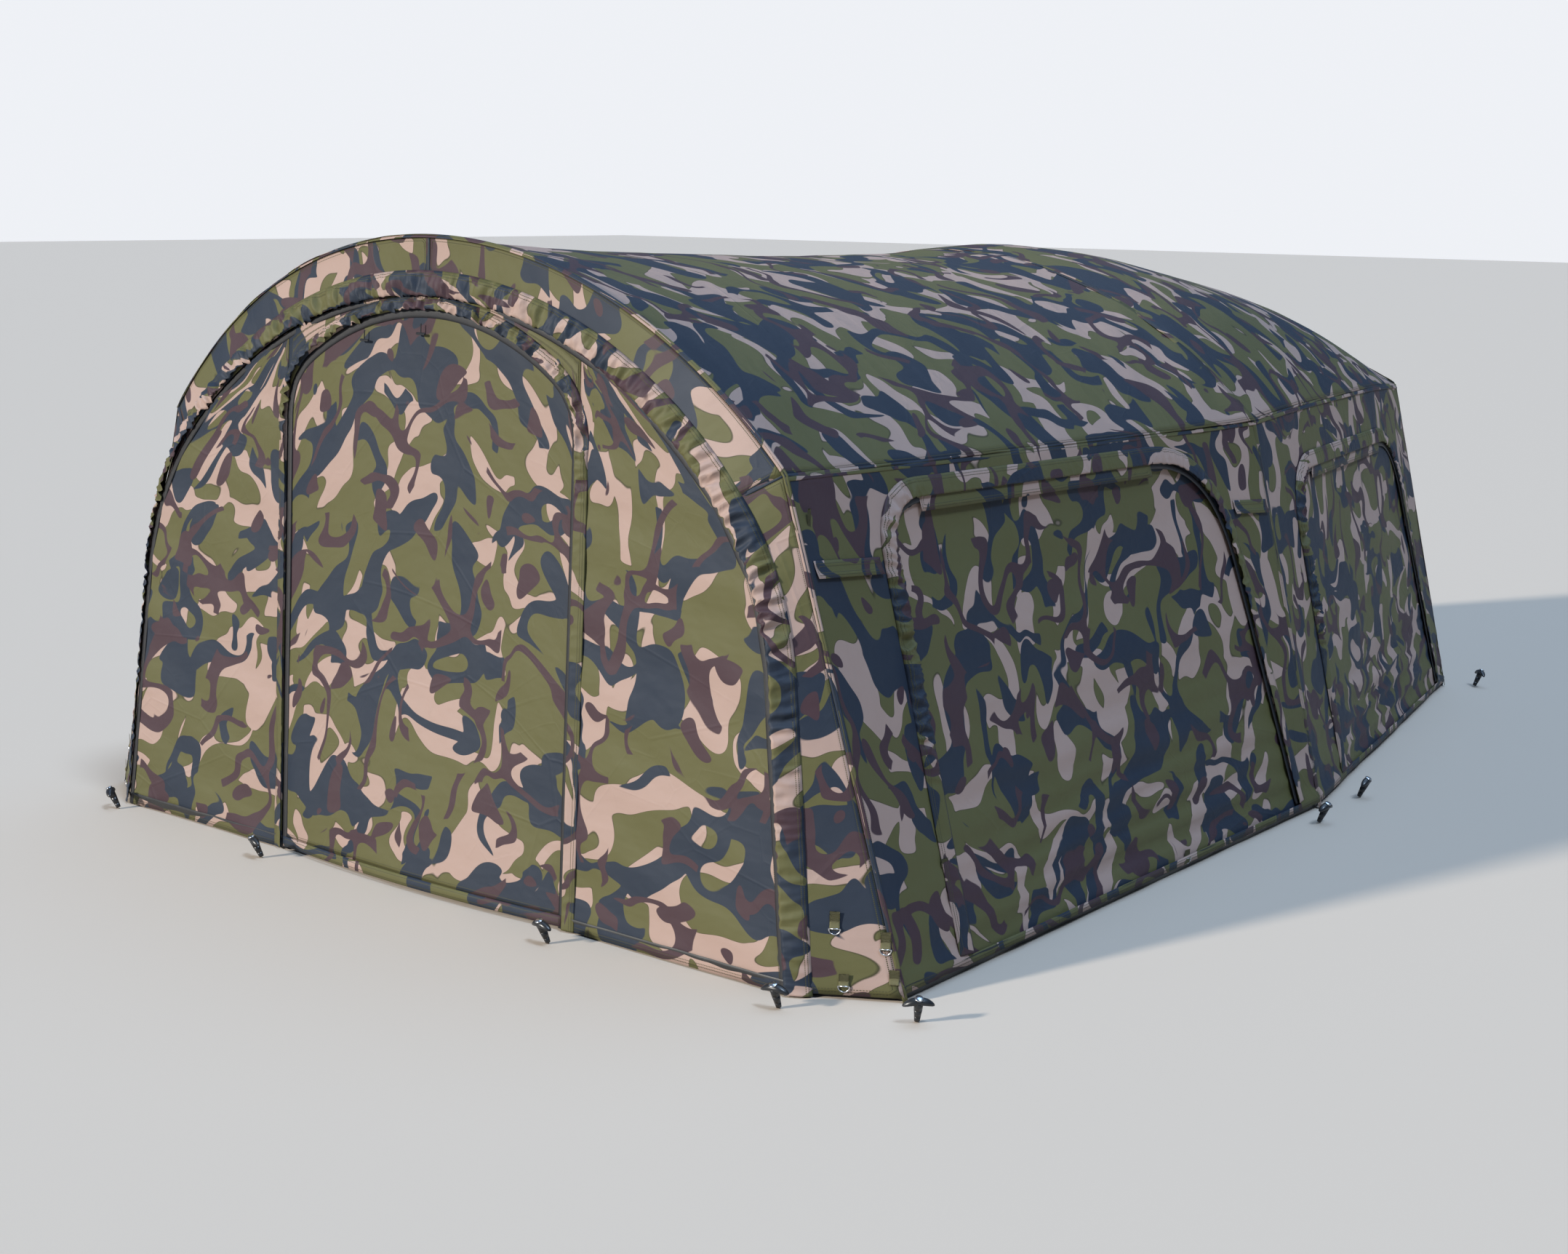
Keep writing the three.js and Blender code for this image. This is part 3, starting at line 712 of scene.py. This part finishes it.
def rim_point(side, f, w):
    """f runs from the foot (0) past the elbow (0.5) to the crown (1), w from the zip (0) to the rib (1)."""
    inner = zip_half(f)
    if f < 0.5:
        outer = foot(FRONT, side).lerp(front_roof(side, 0), f * 2)
    else:
        outer = front_roof(side * (2 - 2 * f), 0)
    return front_point(side * inner.x, inner.y).lerp(outer, w)


def rim_relief(point, u, v):
    return 0.0025 * ripple(point, 0.16) + 0.0015 * ripple(point, 0.06)


RIM_PARTS = (("gusset", 0.003, 0.5, (5.5, 1.7), SIDE_HEM), ("rim", 0.5, 1.0, (8.5, 4.0), 0))
for word, side in SIDES:
    for part, low, high, (print_x, print_y), hem in RIM_PARTS:
        def rim_band(u, v):
            return rim_point(side, mix(low, high, v), mix(0.02, 1.0, u))

        rim_cloth = cloth_panel(
            f"front_{part}_cloth_{word}", facing(side, rim_band), rim_relief,
            print_at=(print_x, print_y + side), hem=hem)
        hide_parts(f"front_{part}_{word}")

# ---------------- gathered flaps
# Every zip is hidden by a flap of the same cloth with elastic in its free edge, which puckers it where it
# goes round a bend. One goes round the front, one round the door and one round each window.

PUCKER_CELL = 0.0045
PUCKER_HEIGHT, FINE_PUCKER_HEIGHT = 0.0110, 0.0050
PUCKERS, FINE_PUCKERS = 34, 80  # how many a metre, about
PUCKER_SWAY, EDGE_SCALLOP = 0.012, 0.007
SMOOTH_BULGE = 0.35  # the share of its rise that a flap has where it isn't gathered
FLAP_CLEAR, LEAST_CLEAR = 0.0015, 0.0006


def gathered_flap(name, surface, length, width, rise, gather, print_at, seed, stand=0.0):
    """A puckered band. surface(f, across, out) gives its places, from the elastic edge at across = 0."""
    bm = unit_grid(
        round(length / PUCKER_CELL), 10,
        cloth=lambda f, v: (f * length * 1.1 + print_at[0], v * width * 1.2 + print_at[1]),
        edge=lambda f, v: (f * length, (1 - v) * width))
    for vert, f, v in grid_places(bm):
        along = f * length
        free = 1 - v
        tight = gather(f)
        skew = along + PUCKER_SWAY * v * noise.noise(Vector((along * 9, seed, 0)))
        pucker = 0.7 - 2.8 * abs(noise.noise(Vector((skew * PUCKERS, v * 0.7, seed))))
        fine = 0.4 - 1.6 * abs(noise.noise(Vector((skew * FINE_PUCKERS, v * 1.8, seed + 5))))
        sewn_down = smoothstep(0, 0.22, free)
        bulge = math.sin(math.pi * min(1, 0.12 + 0.88 * v)) ** 0.7
        height = rise * mix(SMOOTH_BULGE, 1, tight) * bulge + stand * free ** 2
        height += sewn_down * tight * (PUCKER_HEIGHT * pucker + FINE_PUCKER_HEIGHT * fine) + FLAP_CLEAR
        across = v * width + EDGE_SCALLOP * tight * free * pucker
        vert.co = surface(f, across, max(LEAST_CLEAR, height))
    bmesh.ops.recalc_face_normals(bm, faces=bm.faces)
    face_out(bm, lambda place: surface(0.5, width / 2, 0.01) - surface(0.5, width / 2, 0))
    piece = sewn_piece(name, bm, camouflage, "shelter")
    return piece


ARCH_FLAP_WIDTH = 0.068
ARCH_FLAP_LAP = 0.006
NEAR = 0.004  # the share of a path over which its direction is read


def arch_flap_surface(f, across, out):
    side = 1 if f < 0.5 else -1
    share = 1 - abs(2 * f - 1)
    inner = rim_point(side, share, 0)
    toward = (rim_point(side, share, 1) - inner).normalized()
    run = (rim_point(side, min(1, share + NEAR), 0) - rim_point(side, max(0, share - NEAR), 0)).normalized()
    normal = run.cross(toward) * side
    if normal.y > 0:
        normal = -normal
    return inner + toward * (across - ARCH_FLAP_LAP) + normal * out


arch_flap = gathered_flap(
    "arch_zip_flap", arch_flap_surface, 2 * zip_half.length, ARCH_FLAP_WIDTH, 0.012,
    lambda f: 0.35 + 0.65 * smoothstep(0.10, 0.22, min(f, 1 - f)), (0, 12), 1)
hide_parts("front_arch_flap")


def outline_flap(name, points, plane, width, rise, gather, print_at, seed, stand=0.0):
    """A gathered flap outside an open outline that is drawn clockwise in a flat plane(x, y, out)."""
    at = walker(points)

    def surface(f, across, out):
        run = (at(f + NEAR) - at(f - NEAR)).normalized()
        outside = Vector((-run.y, run.x))
        place = at(f) + outside * across
        return plane(place.x, place.y, out)

    return gathered_flap(name, surface, at.length, width, rise, gather, print_at, seed, stand)


def window_gather(f):
    """Tight round the window's front corner, slighter round its rear one, and slack elsewhere."""
    front_corner = smoothstep(0.10, 0.16, f) * (1 - smoothstep(0.29, 0.34, f))
    rear_corner = smoothstep(0.62, 0.68, f) * (1 - smoothstep(0.80, 0.86, f))
    return 0.10 + 0.90 * front_corner + 0.35 * rear_corner


def both_halves(points):
    """An arch's whole outline, from its left foot over its crown, given its right half."""
    return [Vector((-p.x, p.y)) for p in points] + points[::-1][1:]


door_outline = both_halves(door_points)
outline_flap(
    "door_zip_flap", door_outline, front_point, 0.036, 0.008,
    lambda f: 0.08 + 0.92 * smoothstep(0.26, 0.34, min(f, 1 - f)), (3, 14), 2, stand=0.007)

window_planes = {}
for word, side, place, opening, wall, (length, height), _ in each_window():
    middle = wall(0.5, 0.5)
    normal = (wall(0.55, 0.5) - middle).cross(wall(0.5, 0.55) - middle).normalized() * side

    def plane(x, y, out, wall=wall, length=length, height=height, normal=normal):
        return wall(x / length, y / height) + normal * (out + 0.001)

    window_planes[f"{place}_window_{word}"] = (plane, opening)
    outline_flap(
        f"{place}_window_flap_{word}", window_outline(opening), plane, 0.052, 0.011,
        window_gather, (6 + side, 16), 3 + side, stand=0.004)

# ---------------- front panels
# Flat cloth each side of the door and over it, inside the zipped arch.


def height_under(points, x):
    """The height of an outline, given from foot to crown, above a place x between its foot and its crown."""
    for a, b in zip(points, points[1:]):
        if b.x <= x <= a.x:
            return mix(a.y, b.y, (a.x - x) / max(1e-9, a.x - b.x))
    return points[-1].y if x < points[-1].x else 0


def width_at(points, y):
    for a, b in zip(points, points[1:]):
        if a.y <= y <= b.y:
            return mix(a.x, b.x, (y - a.y) / max(1e-9, b.y - a.y))
    return points[-1].x


PANEL_TOP = height_under(zip_points, DOOR_ARCH.base + SEAM) - 0.004


def front_relief(point, u, v):
    tight = taut(point, 11) + 0.0022 * math.sin(point.z * 34 + point.x * 9 + 3 * ripple(point, 0.5))
    return tight * smoothstep(0, 0.06, min(u, 1 - u))


for word, side in SIDES:
    def side_panel(u, v):
        y = v * PANEL_TOP
        return front_point(side * mix(DOOR_ARCH.base + SEAM, width_at(zip_points, y) - SEAM, u), y)

    panel = cloth_panel(
        f"front_cloth_{word}", facing(side, side_panel), front_relief,
        print_at=(3.7 if side > 0 else 0.4, 4.6))
    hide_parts(f"front_panel_{word}")


CRESCENT_WIDTH = 0.15  # the widest part of the piece over the door, across its curve


def over_door(u, v):
    x = mix(-DOOR_ARCH.base, DOOR_ARCH.base, u)
    low = height_under(door_points, abs(x)) + SEAM
    return front_point(x, mix(low, height_under(zip_points, abs(x)) - SEAM, v))


lower_edge = [over_door(mix(0.03, 0.97, i / LINE_STEPS), 0) for i in range(LINE_STEPS + 1)]
crescent = (path_length(lower_edge), CRESCENT_WIDTH)
top_cloth = cloth_panel("front_cloth_top", over_door, front_relief, print_at=(9.1, 7.4), cut=crescent)
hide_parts("front_panel_top")

# ---------------- door
# A sheet of the same cloth, zipped at both sides and over its top. The real door rolls up to its head, where
# two toggles hold it; here the sheet stays on the shelter, and only its hem is on the door_hem body. Its foot
# bows forward, and ends in a stiff turned hem.

DOOR_HEM_TOP = 0.030
DOOR_BOW = 0.034


def door_bow(x, height):
    across = max(0, 1 - (x / DOOR_ARCH.base) ** 2)
    return DOOR_BOW * across * (1 - smoothstep(0, 0.75, height))


def door_surface(u, v):
    x = mix(-DOOR_ARCH.base + SEAM, DOOR_ARCH.base - SEAM, u)
    top = max(DOOR_HEM_TOP + 0.02, height_under(door_points, abs(x)) - SEAM)
    height = mix(DOOR_HEM_TOP, top, v)
    return front_point(x, height, door_bow(x, height) - 0.002)


def door_relief(point, u, v):
    held = smoothstep(0, 0.05, min(u, 1 - u)) * smoothstep(0, 0.03, 1 - v)
    fold = 0.0035 * math.sin(point.z * 17 - point.x * 4 + 2.5 * ripple(point, 0.6)) * ripple(point, 0.5, 9)
    return held * (0.005 * ripple(point, 0.5, 4) + 0.0018 * ripple(point, 0.13, 6) + fold)


door_cloth = cloth_panel("door_cloth", door_surface, door_relief, print_at=(6.4, 2.1), cell=0.016)
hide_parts("door_panel")
tuple(front_point(0, DOOR_ARCH.crown))
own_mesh(door_cloth)


def door_hem_surface(u, v):
    x = mix(-DOOR_ARCH.base + 0.006, DOOR_ARCH.base - 0.006, u)
    height = mix(0.006, DOOR_HEM_TOP + 0.004, v)
    return front_point(x, height, door_bow(x, height) + 0.002 + 0.002 * math.sin(math.pi * v))


hem_cloth = cloth_panel("door_hem_cloth", door_hem_surface, print_at=(6.4, 2.08), cell=0.01, body="door_hem")
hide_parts("door_hem")

# ---------------- rear wall
# The rear rib is filled by one upright sheet.


def rear_surface(u, v):
    t = mix(-0.985, 0.985, u)
    top = rib_point(REAR, t)
    bottom = Vector((t * REAR.foot, REAR.foot_y, HEM_HEIGHT))
    return bottom.lerp(top, v * 0.985) + Vector((0, 0.003, 0))


rear_cloth = cloth_panel(
    "rear_wall_cloth", lambda u, v: rear_surface(1 - u, v), wall_relief, print_at=(1.9, 5.2))
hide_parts("rear_wall")

# ---------------- seams
# Felled seams: a narrow doubled band of cloth with two rows of stitching, over every joint of the panels.

SEAM_WIDTH = 0.013
SEAM_CELL = 0.022
SEAM_CLEAR, SEAM_RISE = 0.0004, 0.0008


def seam_band(name, points, outward, width=SEAM_WIDTH, rise=SEAM_RISE, material=camouflage,
              print_at=(0, 20)):
    """A raised band that follows a line of places, with outward(place) as the way it faces."""
    length = path_length(points)
    at = walker(points)
    bm = unit_grid(
        max(4, round(length / SEAM_CELL)), 4,
        cloth=lambda f, v: (f * length + print_at[0], v * width + print_at[1]),
        edge=lambda f, v: (f * length, min(v, 1 - v) * width))
    for vert, f, v in grid_places(bm):
        place = at(f)
        run = (at(f + 0.003) - at(f - 0.003)).normalized()
        normal = outward(place).normalized()
        across = normal.cross(run).normalized()
        lift = SEAM_CLEAR + rise * min(1, 5 * v, 5 * (1 - v))
        vert.co = place + across * (v - 0.5) * width + normal * lift
    face_out(bm, outward)
    piece = sewn_piece(name, bm, material, "shelter")
    return piece


def rib_line(rib):
    """The line of a rib's seam from its left foot over its crown to its right foot."""
    arc = [rib_point(rib, -1 + i / 30) for i in range(61)]
    legs = [[foot(rib, side).lerp(rib_point(rib, side), i / 12) for i in range(12)] for side in (-1, 1)]
    return legs[0] + arc + legs[1][::-1]


def off_centre(place):
    return Vector((place.x, 0, place.z - 0.2 if place.z > 1.15 else 0.25 * (1.2 - place.z)))


def off_end(lean):
    return lambda place: off_centre(place).normalized() + Vector((0, lean, 0))


seam_band("front_rib_seam", rib_line(FRONT), off_end(-0.9))
seam_band("middle_rib_seam", rib_line(MIDDLE), off_centre, width=0.020, print_at=(4, 22))
seam_band("rear_rib_seam", rib_line(REAR), off_end(0.6), print_at=(2, 24))
crown_line = [rim_point(1, 1, w / 6) for w in range(7)]
seam_band("front_crown_seam", crown_line, lambda place: Vector((0, -1, 0.4)), width=0.014)

EAVE_DROP, EAVE_PROUD = 0.012, 0.004
for word, side in SIDES:
    front_eave = [front_roof(side, i / 24) for i in range(25)]
    rear_eave = [rear_roof(side, i / 24) for i in range(1, 25)]
    line = [place + Vector((side * EAVE_PROUD, 0, -EAVE_DROP)) for place in front_eave + rear_eave]
    seam_band(
        f"eave_seam_{word}", line, lambda place: Vector((side, 0, 0.5)), width=0.012,
        print_at=(7 + side, 26))
    elbow_line = [rim_point(side, 0.5, w / 6) for w in range(7)]
    seam_band(f"front_elbow_seam_{word}", elbow_line, lambda place: Vector((0, -1, 0.1)), width=0.012)

# ---------------- zips
# Black zip tapes under the flaps. Each tape is set to show a black line beside its flap, which also stands in
# for the flap's shadow: a real zip, and painted shade.

ZIP_STEPS = 120
ZIP_RISE = 0.0010
# The tapes' black edge is partly the real zip and partly painted shadow under the flaps.
zip_black_and_painted_flap_shadow = plain_material("zip_black_and_painted_flap_shadow", (0.010, 0.010, 0.012, 1), 0.5, grain=1500, grain_depth=0.0004)


def outline_zip(name, points, plane, inset, width=0.018):
    """A zip tape that follows an outline, at a distance inside it, where its black edge shows beside the flap
    as painted shade.
    """
    at = walker(points)
    line = []
    for i in range(ZIP_STEPS + 1):
        f = i / ZIP_STEPS
        run = (at(f + NEAR) - at(f - NEAR)).normalized()
        place = at(f) - Vector((-run.y, run.x)) * inset
        line.append(plane(place.x, place.y, 0))
    facing_out = (plane(0.5, 0.5, 0.1) - plane(0.5, 0.5, 0)).normalized()
    return seam_band(name, line, lambda place: facing_out, width=width, rise=ZIP_RISE, material=zip_black_and_painted_flap_shadow)


# The insets leave a strip of black tape showing: partly the real zip, partly painted shadow under the flaps.
outline_zip("door_zip", door_outline, front_point, 0.008, width=0.024)
outline_zip("arch_zip", both_halves(zip_points), front_point, 0.010)
for name, (plane, opening) in window_planes.items():
    outline_zip(f"{name}_zip", window_outline(opening), plane, 0.004)

# ---------------- mud flaps
# A black coated strip hangs below the printed hems, all the way round, and tucks in at the ground.

MUD_FLAP = 0.034
MUD_TUCK = 0.010
mud_cloth = plain_material("mud_flap", (0.013, 0.014, 0.015, 1), 0.42, grain=500, grain_depth=0.0002)


def mud_strip(name, start, end, outward, inset=0.006):
    def surface(u, v):
        return start.lerp(end, u) + Vector((0, 0, v * MUD_FLAP)) - outward * (inset + MUD_TUCK * (1 - v))

    return cloth_panel(
        name, surface, lambda point, u, v: 0.002 * ripple(point, 0.08), cell=FINE_CELL, material=mud_cloth)


for word, side in SIDES:
    ground_feet = [foot(rib, side) for rib in (FRONT, MIDDLE, REAR)]
    gusset_foot = front_point(side * ZIP_ARCH.base, 0)
    legs = (
        ("gusset", gusset_foot, ground_feet[0], Vector((side * 0.5, -0.85, 0))),
        ("front", ground_feet[0], ground_feet[1], Vector((side, -0.07, 0))),
        ("rear", ground_feet[1], ground_feet[2], Vector((side, 0.27, 0))))
    for place, start, end, outward in legs:
        first, last = (start, end) if side > 0 else (end, start)
        mud_strip(f"{place}_mud_flap_{word}", first, last, outward)
    inner = front_point(side * DOOR_ARCH.base, 0)
    first, last = (inner, gusset_foot) if side > 0 else (gusset_foot, inner)
    mud_strip(f"panel_mud_flap_{word}", first, last, Vector((0, -1, 0)), inset=-0.002)
mud_strip("rear_mud_flap", foot(REAR, 1), foot(REAR, -1), Vector((0, 1, 0)))

# ---------------- vent flaps
# Short flaps high on the side wall, one at each end of the front window, cover its vents.

VENTS = (("front", 0.012, 0.125, 0.785), ("middle", 0.905, 0.992, 0.760))
VENT_HEIGHT, VENT_SLANT = 0.035, 0.012  # in shares of the wall's height

for word, side in SIDES:
    wall = front_wall(side)
    for place, start, end, low in VENTS:
        def vent(u, v):
            return wall(mix(start, end, u), low + VENT_SLANT * (1 - u) + VENT_HEIGHT * v)

        cloth_panel(
            f"{place}_vent_flap_{word}", facing(side, vent),
            lambda point, u, v: 0.0035 + 0.006 * (1 - v) ** 2, print_at=(2.6 + side, 28), cell=0.008)

# ---------------- webbing and rings
# Olive webbing tabs, folded through plated D rings, are sewn to the hems and take the pegs.

WEBBING = (0.150, 0.138, 0.062, 1)
RING_WIRE = 0.0016
RING_HALF = 0.0135
RING_PROUD = 0.0045
TAB_WIDTH = 0.024
TAB_PROUD = 0.005
TAB_LENGTH = 0.042
TAB_FOLD, FOLD_AT, FOLD_SPREAD = 0.0032, 0.93, 0.10  # the bulge where it folds through its ring
plated_steel = plain_material("plated_steel", (0.62, 0.63, 0.65, 1), 0.22, 1.0, grain_depth=0.00001)


def webbing_material(name):
    material, wires, shader = new_material(name)
    place = wires.node("ShaderNodeUVMap", {"uv_map": "cloth"})
    ribs = place.node(
        "ShaderNodeTexWave", {"bands_direction": "Y"},
        {"Vector": place, "Scale": 260.0, "Distortion": 0.6, "Detail": 1.0}, out=1)
    yarn = noise_at(place, 700, 2)
    colour = (ribs * 0.5 + yarn * 0.3).blend(WEBBING, tuple(c * 0.45 for c in WEBBING[:3]) + (1,))
    bump = wires.node(
        "ShaderNodeBump", {}, {"Strength": 0.9, "Distance": 1.0, "Height": ribs * 0.0005 + yarn * 0.0002})
    feed(material, shader, Base_Color=colour, Roughness=yarn * 0.2 + 0.65, Normal=bump)
    return material


webbing = webbing_material("webbing")


def frame_at(place, down, outward):
    """A matrix whose Z runs up the cloth, whose Y points into it, and whose X runs across."""
    z = -down.normalized()
    y = -(outward - z * outward.dot(z)).normalized()
    x = y.cross(z)
    return Matrix.Translation(place - y * TAB_PROUD) @ Matrix((x, y, z)).transposed().to_4x4()


def webbing_tab(name, place, down, outward, length=TAB_LENGTH, width=TAB_WIDTH, thick=0.0022):
    """A doubled tab of webbing from place down along the cloth, rounded where it folds through its ring."""
    bm = unit_grid(6, 14, cloth=lambda u, v: ((u - 0.5) * width, (v - 0.5) * length))
    for vert in bm.verts:
        down_share = 0.5 - vert.co.y
        bulge = TAB_FOLD * math.exp(-((down_share - FOLD_AT) / FOLD_SPREAD) ** 2)
        vert.co = Vector((vert.co.x * width, -thick - bulge, -down_share * length))
    bmesh.ops.solidify(bm, geom=bm.faces[:], thickness=-thick)
    bmesh.ops.recalc_face_normals(bm, faces=bm.faces)
    bmesh.ops.transform(bm, matrix=frame_at(place, down, outward), verts=bm.verts)
    piece = finish_mesh(name, bm, webbing)
    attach(piece, "shelter")
    return piece


def d_ring(name, place, down, outward):
    """A plated D of round wire: a half turn and a straight bar."""
    bm = bmesh.new()
    bmesh.ops.create_circle(
        bm, segments=10, radius=RING_WIRE, matrix=Matrix.Translation((RING_HALF, 0, 0)))
    bmesh.ops.spin(
        bm, geom=bm.verts[:] + bm.edges[:], cent=(0, 0, 0), axis=(0, 1, 0), angle=math.pi, steps=20)
    bmesh.ops.create_cone(
        bm, cap_ends=True, segments=10, radius1=RING_WIRE, radius2=RING_WIRE, depth=2 * RING_HALF + RING_WIRE,
        matrix=Matrix.Rotation(math.pi / 2, 4, "Y"))
    bmesh.ops.recalc_face_normals(bm, faces=bm.faces)
    bmesh.ops.transform(bm, matrix=frame_at(place, down, outward), verts=bm.verts)
    piece = finish_mesh(name, bm, plated_steel)
    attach(piece, "shelter")
    return piece


def tab_and_ring(name, place, down, outward, length=TAB_LENGTH):
    webbing_tab(f"{name}_tab", place, down, outward, length)
    ring_place = place + down.normalized() * (length - 0.003) + outward.normalized() * RING_PROUD
    d_ring(f"{name}_ring", ring_place, down, outward)


for word, side in SIDES:
    front_face = Vector((side * 0.5, -0.85, 0.1)).normalized()
    side_face = Vector((side, -0.07, 0.18)).normalized()
    zip_side = rim_point(side, 0.085, 0.52)
    corner = rim_point(side, 0.066, 0.97)
    wall = front_wall(side)
    straight_down = Vector((0, 0, -1))
    tab_and_ring(f"gusset_{word}", zip_side, straight_down, front_face)
    tab_and_ring(f"corner_{word}", corner, straight_down, front_face)
    tab_and_ring(f"window_{word}", wall(0.118, 0.225), straight_down, side_face)
    tab_and_ring(f"window_hem_{word}", wall(0.62, 0.044), straight_down, side_face, 0.026)
    tab_and_ring(f"gusset_foot_{word}", rim_point(side, 0.024, 0.52), straight_down, front_face, 0.03)
    webbing_tab(f"corner_foot_{word}", rim_point(side, 0.030, 0.97), straight_down, front_face, 0.034)
    strap_top = wall(0.020, 0.930) + side_face * 0.006
    webbing_tab(f"elbow_strap_{word}", strap_top, straight_down, side_face, 0.085, 0.011, 0.0018)
    strap_end = strap_top + straight_down * 0.081 + side_face * 0.005
    d_ring(f"elbow_strap_ring_{word}", strap_end, straight_down, side_face)

# ---------------- pegs
# Bowed moulded T handles with a plated disc on top, on a stepped collar.

moulded_black = plain_material("moulded_black", (0.012, 0.013, 0.015, 1), 0.32)
anodised_tube = plain_material("anodised_tube", (0.075, 0.078, 0.070, 1), 0.38, 0.9, grain=700)

PEG_LENGTH = 0.058
PEG_TILT = 0.42
PEG_CLEAR = 0.0002
HANDLE_HALF = (0.037, 0.0110, 0.0085)
HANDLE_BOW = 0.012
COLLAR_FOOT = 0.0066
COLLAR = ((0.0078, 0.0020, 0.016), (0.0098, 0.016, 0.036), (0.0112, 0.036, PEG_LENGTH))
Peg = namedtuple("Peg", "x y heading")
PEGS = {
    "peg_front_left": Peg(-1.262, -2.256, 225), "peg_door_left": Peg(-0.528, -2.296, 250),
    "peg_door_right": Peg(0.604, -2.296, 262), "peg_front_right": Peg(1.330, -2.272, 280),
    "peg_corner_right": Peg(1.618, -2.134, 315), "peg_mid_front_right": Peg(1.448, 0.040, 0),
    "peg_mid_rear_right": Peg(1.392, 0.400, 10), "peg_rear_right": Peg(0.918, 2.246, 50),
    "peg_mid_front_left": Peg(-1.448, 0.040, 180), "peg_mid_rear_left": Peg(-1.392, 0.400, 170),
    "peg_rear_left": Peg(-0.918, 2.246, 130),
}


def peg_mesh():
    """A handle, squared off a little and bowed down at its ends, on three rings (radius, low, high)."""
    bm = bmesh.new()
    made = bmesh.ops.create_uvsphere(bm, u_segments=32, v_segments=16, radius=1)
    for vert in made["verts"]:
        x, y, z = vert.co
        reach = math.copysign(abs(x) ** 0.85, x)
        height = z * HANDLE_HALF[2] + PEG_LENGTH + 0.001 - HANDLE_BOW * reach ** 2
        vert.co = Vector((reach * HANDLE_HALF[0], y * HANDLE_HALF[1], height))
    lower = COLLAR_FOOT
    for radius, low, high in COLLAR:
        bmesh.ops.create_cone(
            bm, cap_ends=True, segments=24, radius1=lower, radius2=radius, depth=high - low,
            matrix=Matrix.Translation((0, 0, (low + high) / 2)))
        lower = radius
    return bm


def disc_mesh():
    bm = bmesh.new()
    bmesh.ops.create_cone(
        bm, cap_ends=True, segments=32, radius1=0.0104, radius2=0.0092, depth=0.0024,
        matrix=Matrix.Translation((0, 0, PEG_LENGTH + 0.0098)))
    return bm


for name, peg in PEGS.items():
    clear = 0.004 * math.sin(PEG_TILT) + PEG_CLEAR
    place = (Matrix.Translation((peg.x, peg.y, clear))
             @ Matrix.Rotation(math.radians(peg.heading + 90), 4, "Z") @ Matrix.Rotation(PEG_TILT, 4, "X"))
    handle_mesh, plate_mesh = peg_mesh(), disc_mesh()
    for bm in (handle_mesh, plate_mesh):
        bmesh.ops.transform(bm, matrix=place, verts=bm.verts)
    handle = finish_mesh(f"{name}_handle", handle_mesh, moulded_black)
    plate = finish_mesh(f"{name}_disc", plate_mesh, plated_steel)
    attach(handle, name)
    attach(plate, name)
    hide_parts(name)

# ---------------- frame
# Anodised tubes pushed into moulded elbows and a moulded crown block. Their CAD shapes are shown.


def finish_node(node, material):
    node.data.materials.clear()
    node.data.materials.append(material)


for name, node in nodes.items():
    if any(part in name for part in ("_tube", "_leg_", "ridge_pole", "eave_bar")):
        finish_node(node, anodised_tube)
    if any(part in name for part in ("_elbow_", "crown_block", "toggle")):
        finish_node(node, moulded_black)

# ---------------- floor sheet
# A heavy coated ground sheet lies inside, cut to the foot of the walls.

floor_cloth = plain_material("floor_cloth", (0.020, 0.024, 0.016, 1), 0.7, grain=900, grain_depth=0.0002)
finish_node(nodes["floor_sheet"], floor_cloth)

# ---------------- ground and light
# A plain pale floor. A warm sun shines from the front left, and two cool lamps stand for the sky: one
# over the right side, and a broad one above the roofs.

ground_material = plain_material(
    "pale_floor", (0.50, 0.425, 0.35, 1), 0.75, grain=60, grain_depth=0.0001, wear=0)
bm = bmesh.new()
bmesh.ops.create_grid(bm, x_segments=1, y_segments=1, size=60)
ground = finish_mesh("ground", bm, ground_material)
ground.location.z = -0.001


def sun_light(name, towards, strength, spread_angle, colour):
    """A far lamp that shines from the direction of a place. A wider spread gives softer shadows."""
    light = bpy.data.lights.new(name, "SUN")
    light.energy = strength
    light.angle = spread_angle
    light.color = colour
    lamp = bpy.data.objects.new(name, light)
    lamp.location = towards
    lamp.rotation_euler = Vector(towards).to_track_quat("Z", "Y").to_euler()
    scene.collection.objects.link(lamp)


sun_light("key", (-4.2, -11.0, 4.7), 4.8, 0.07, (1.0, 0.955, 0.88))
sun_light("sky_side", (7.0, -1.5, 11.5), 2.0, 0.22, (0.60, 0.77, 1.0))
sun_light("sky_top", (0.5, 3.0, 11.0), 1.5, 1.0, (0.46, 0.68, 1.0))

HORIZON = (0.86, 0.88, 0.92, 1)
ZENITH = (0.22, 0.29, 0.40, 1)
SHADE_LIGHT = (0.13, 0.18, 0.26, 1)  # what lights the shelter; the backdrop itself is paler
world = bpy.data.worlds.new("world")
world.use_nodes = True
sky = Wire(world.node_tree)
direction = sky.node("ShaderNodeTexCoord", out=0)
parts = direction.node("ShaderNodeSeparateXYZ", {}, {0: direction}, out=2)
rising = parts.node("ShaderNodeClamp", {}, {0: (parts - 0.16) * 3.0})
seen = sky.node("ShaderNodeLightPath")
glow = seen.blend(SHADE_LIGHT, rising.blend(HORIZON, ZENITH))
background = world.node_tree.nodes["Background"]
world.node_tree.links.new(glow.socket, background.inputs["Color"])
scene.world = world
scene.view_settings.view_transform = "Standard"
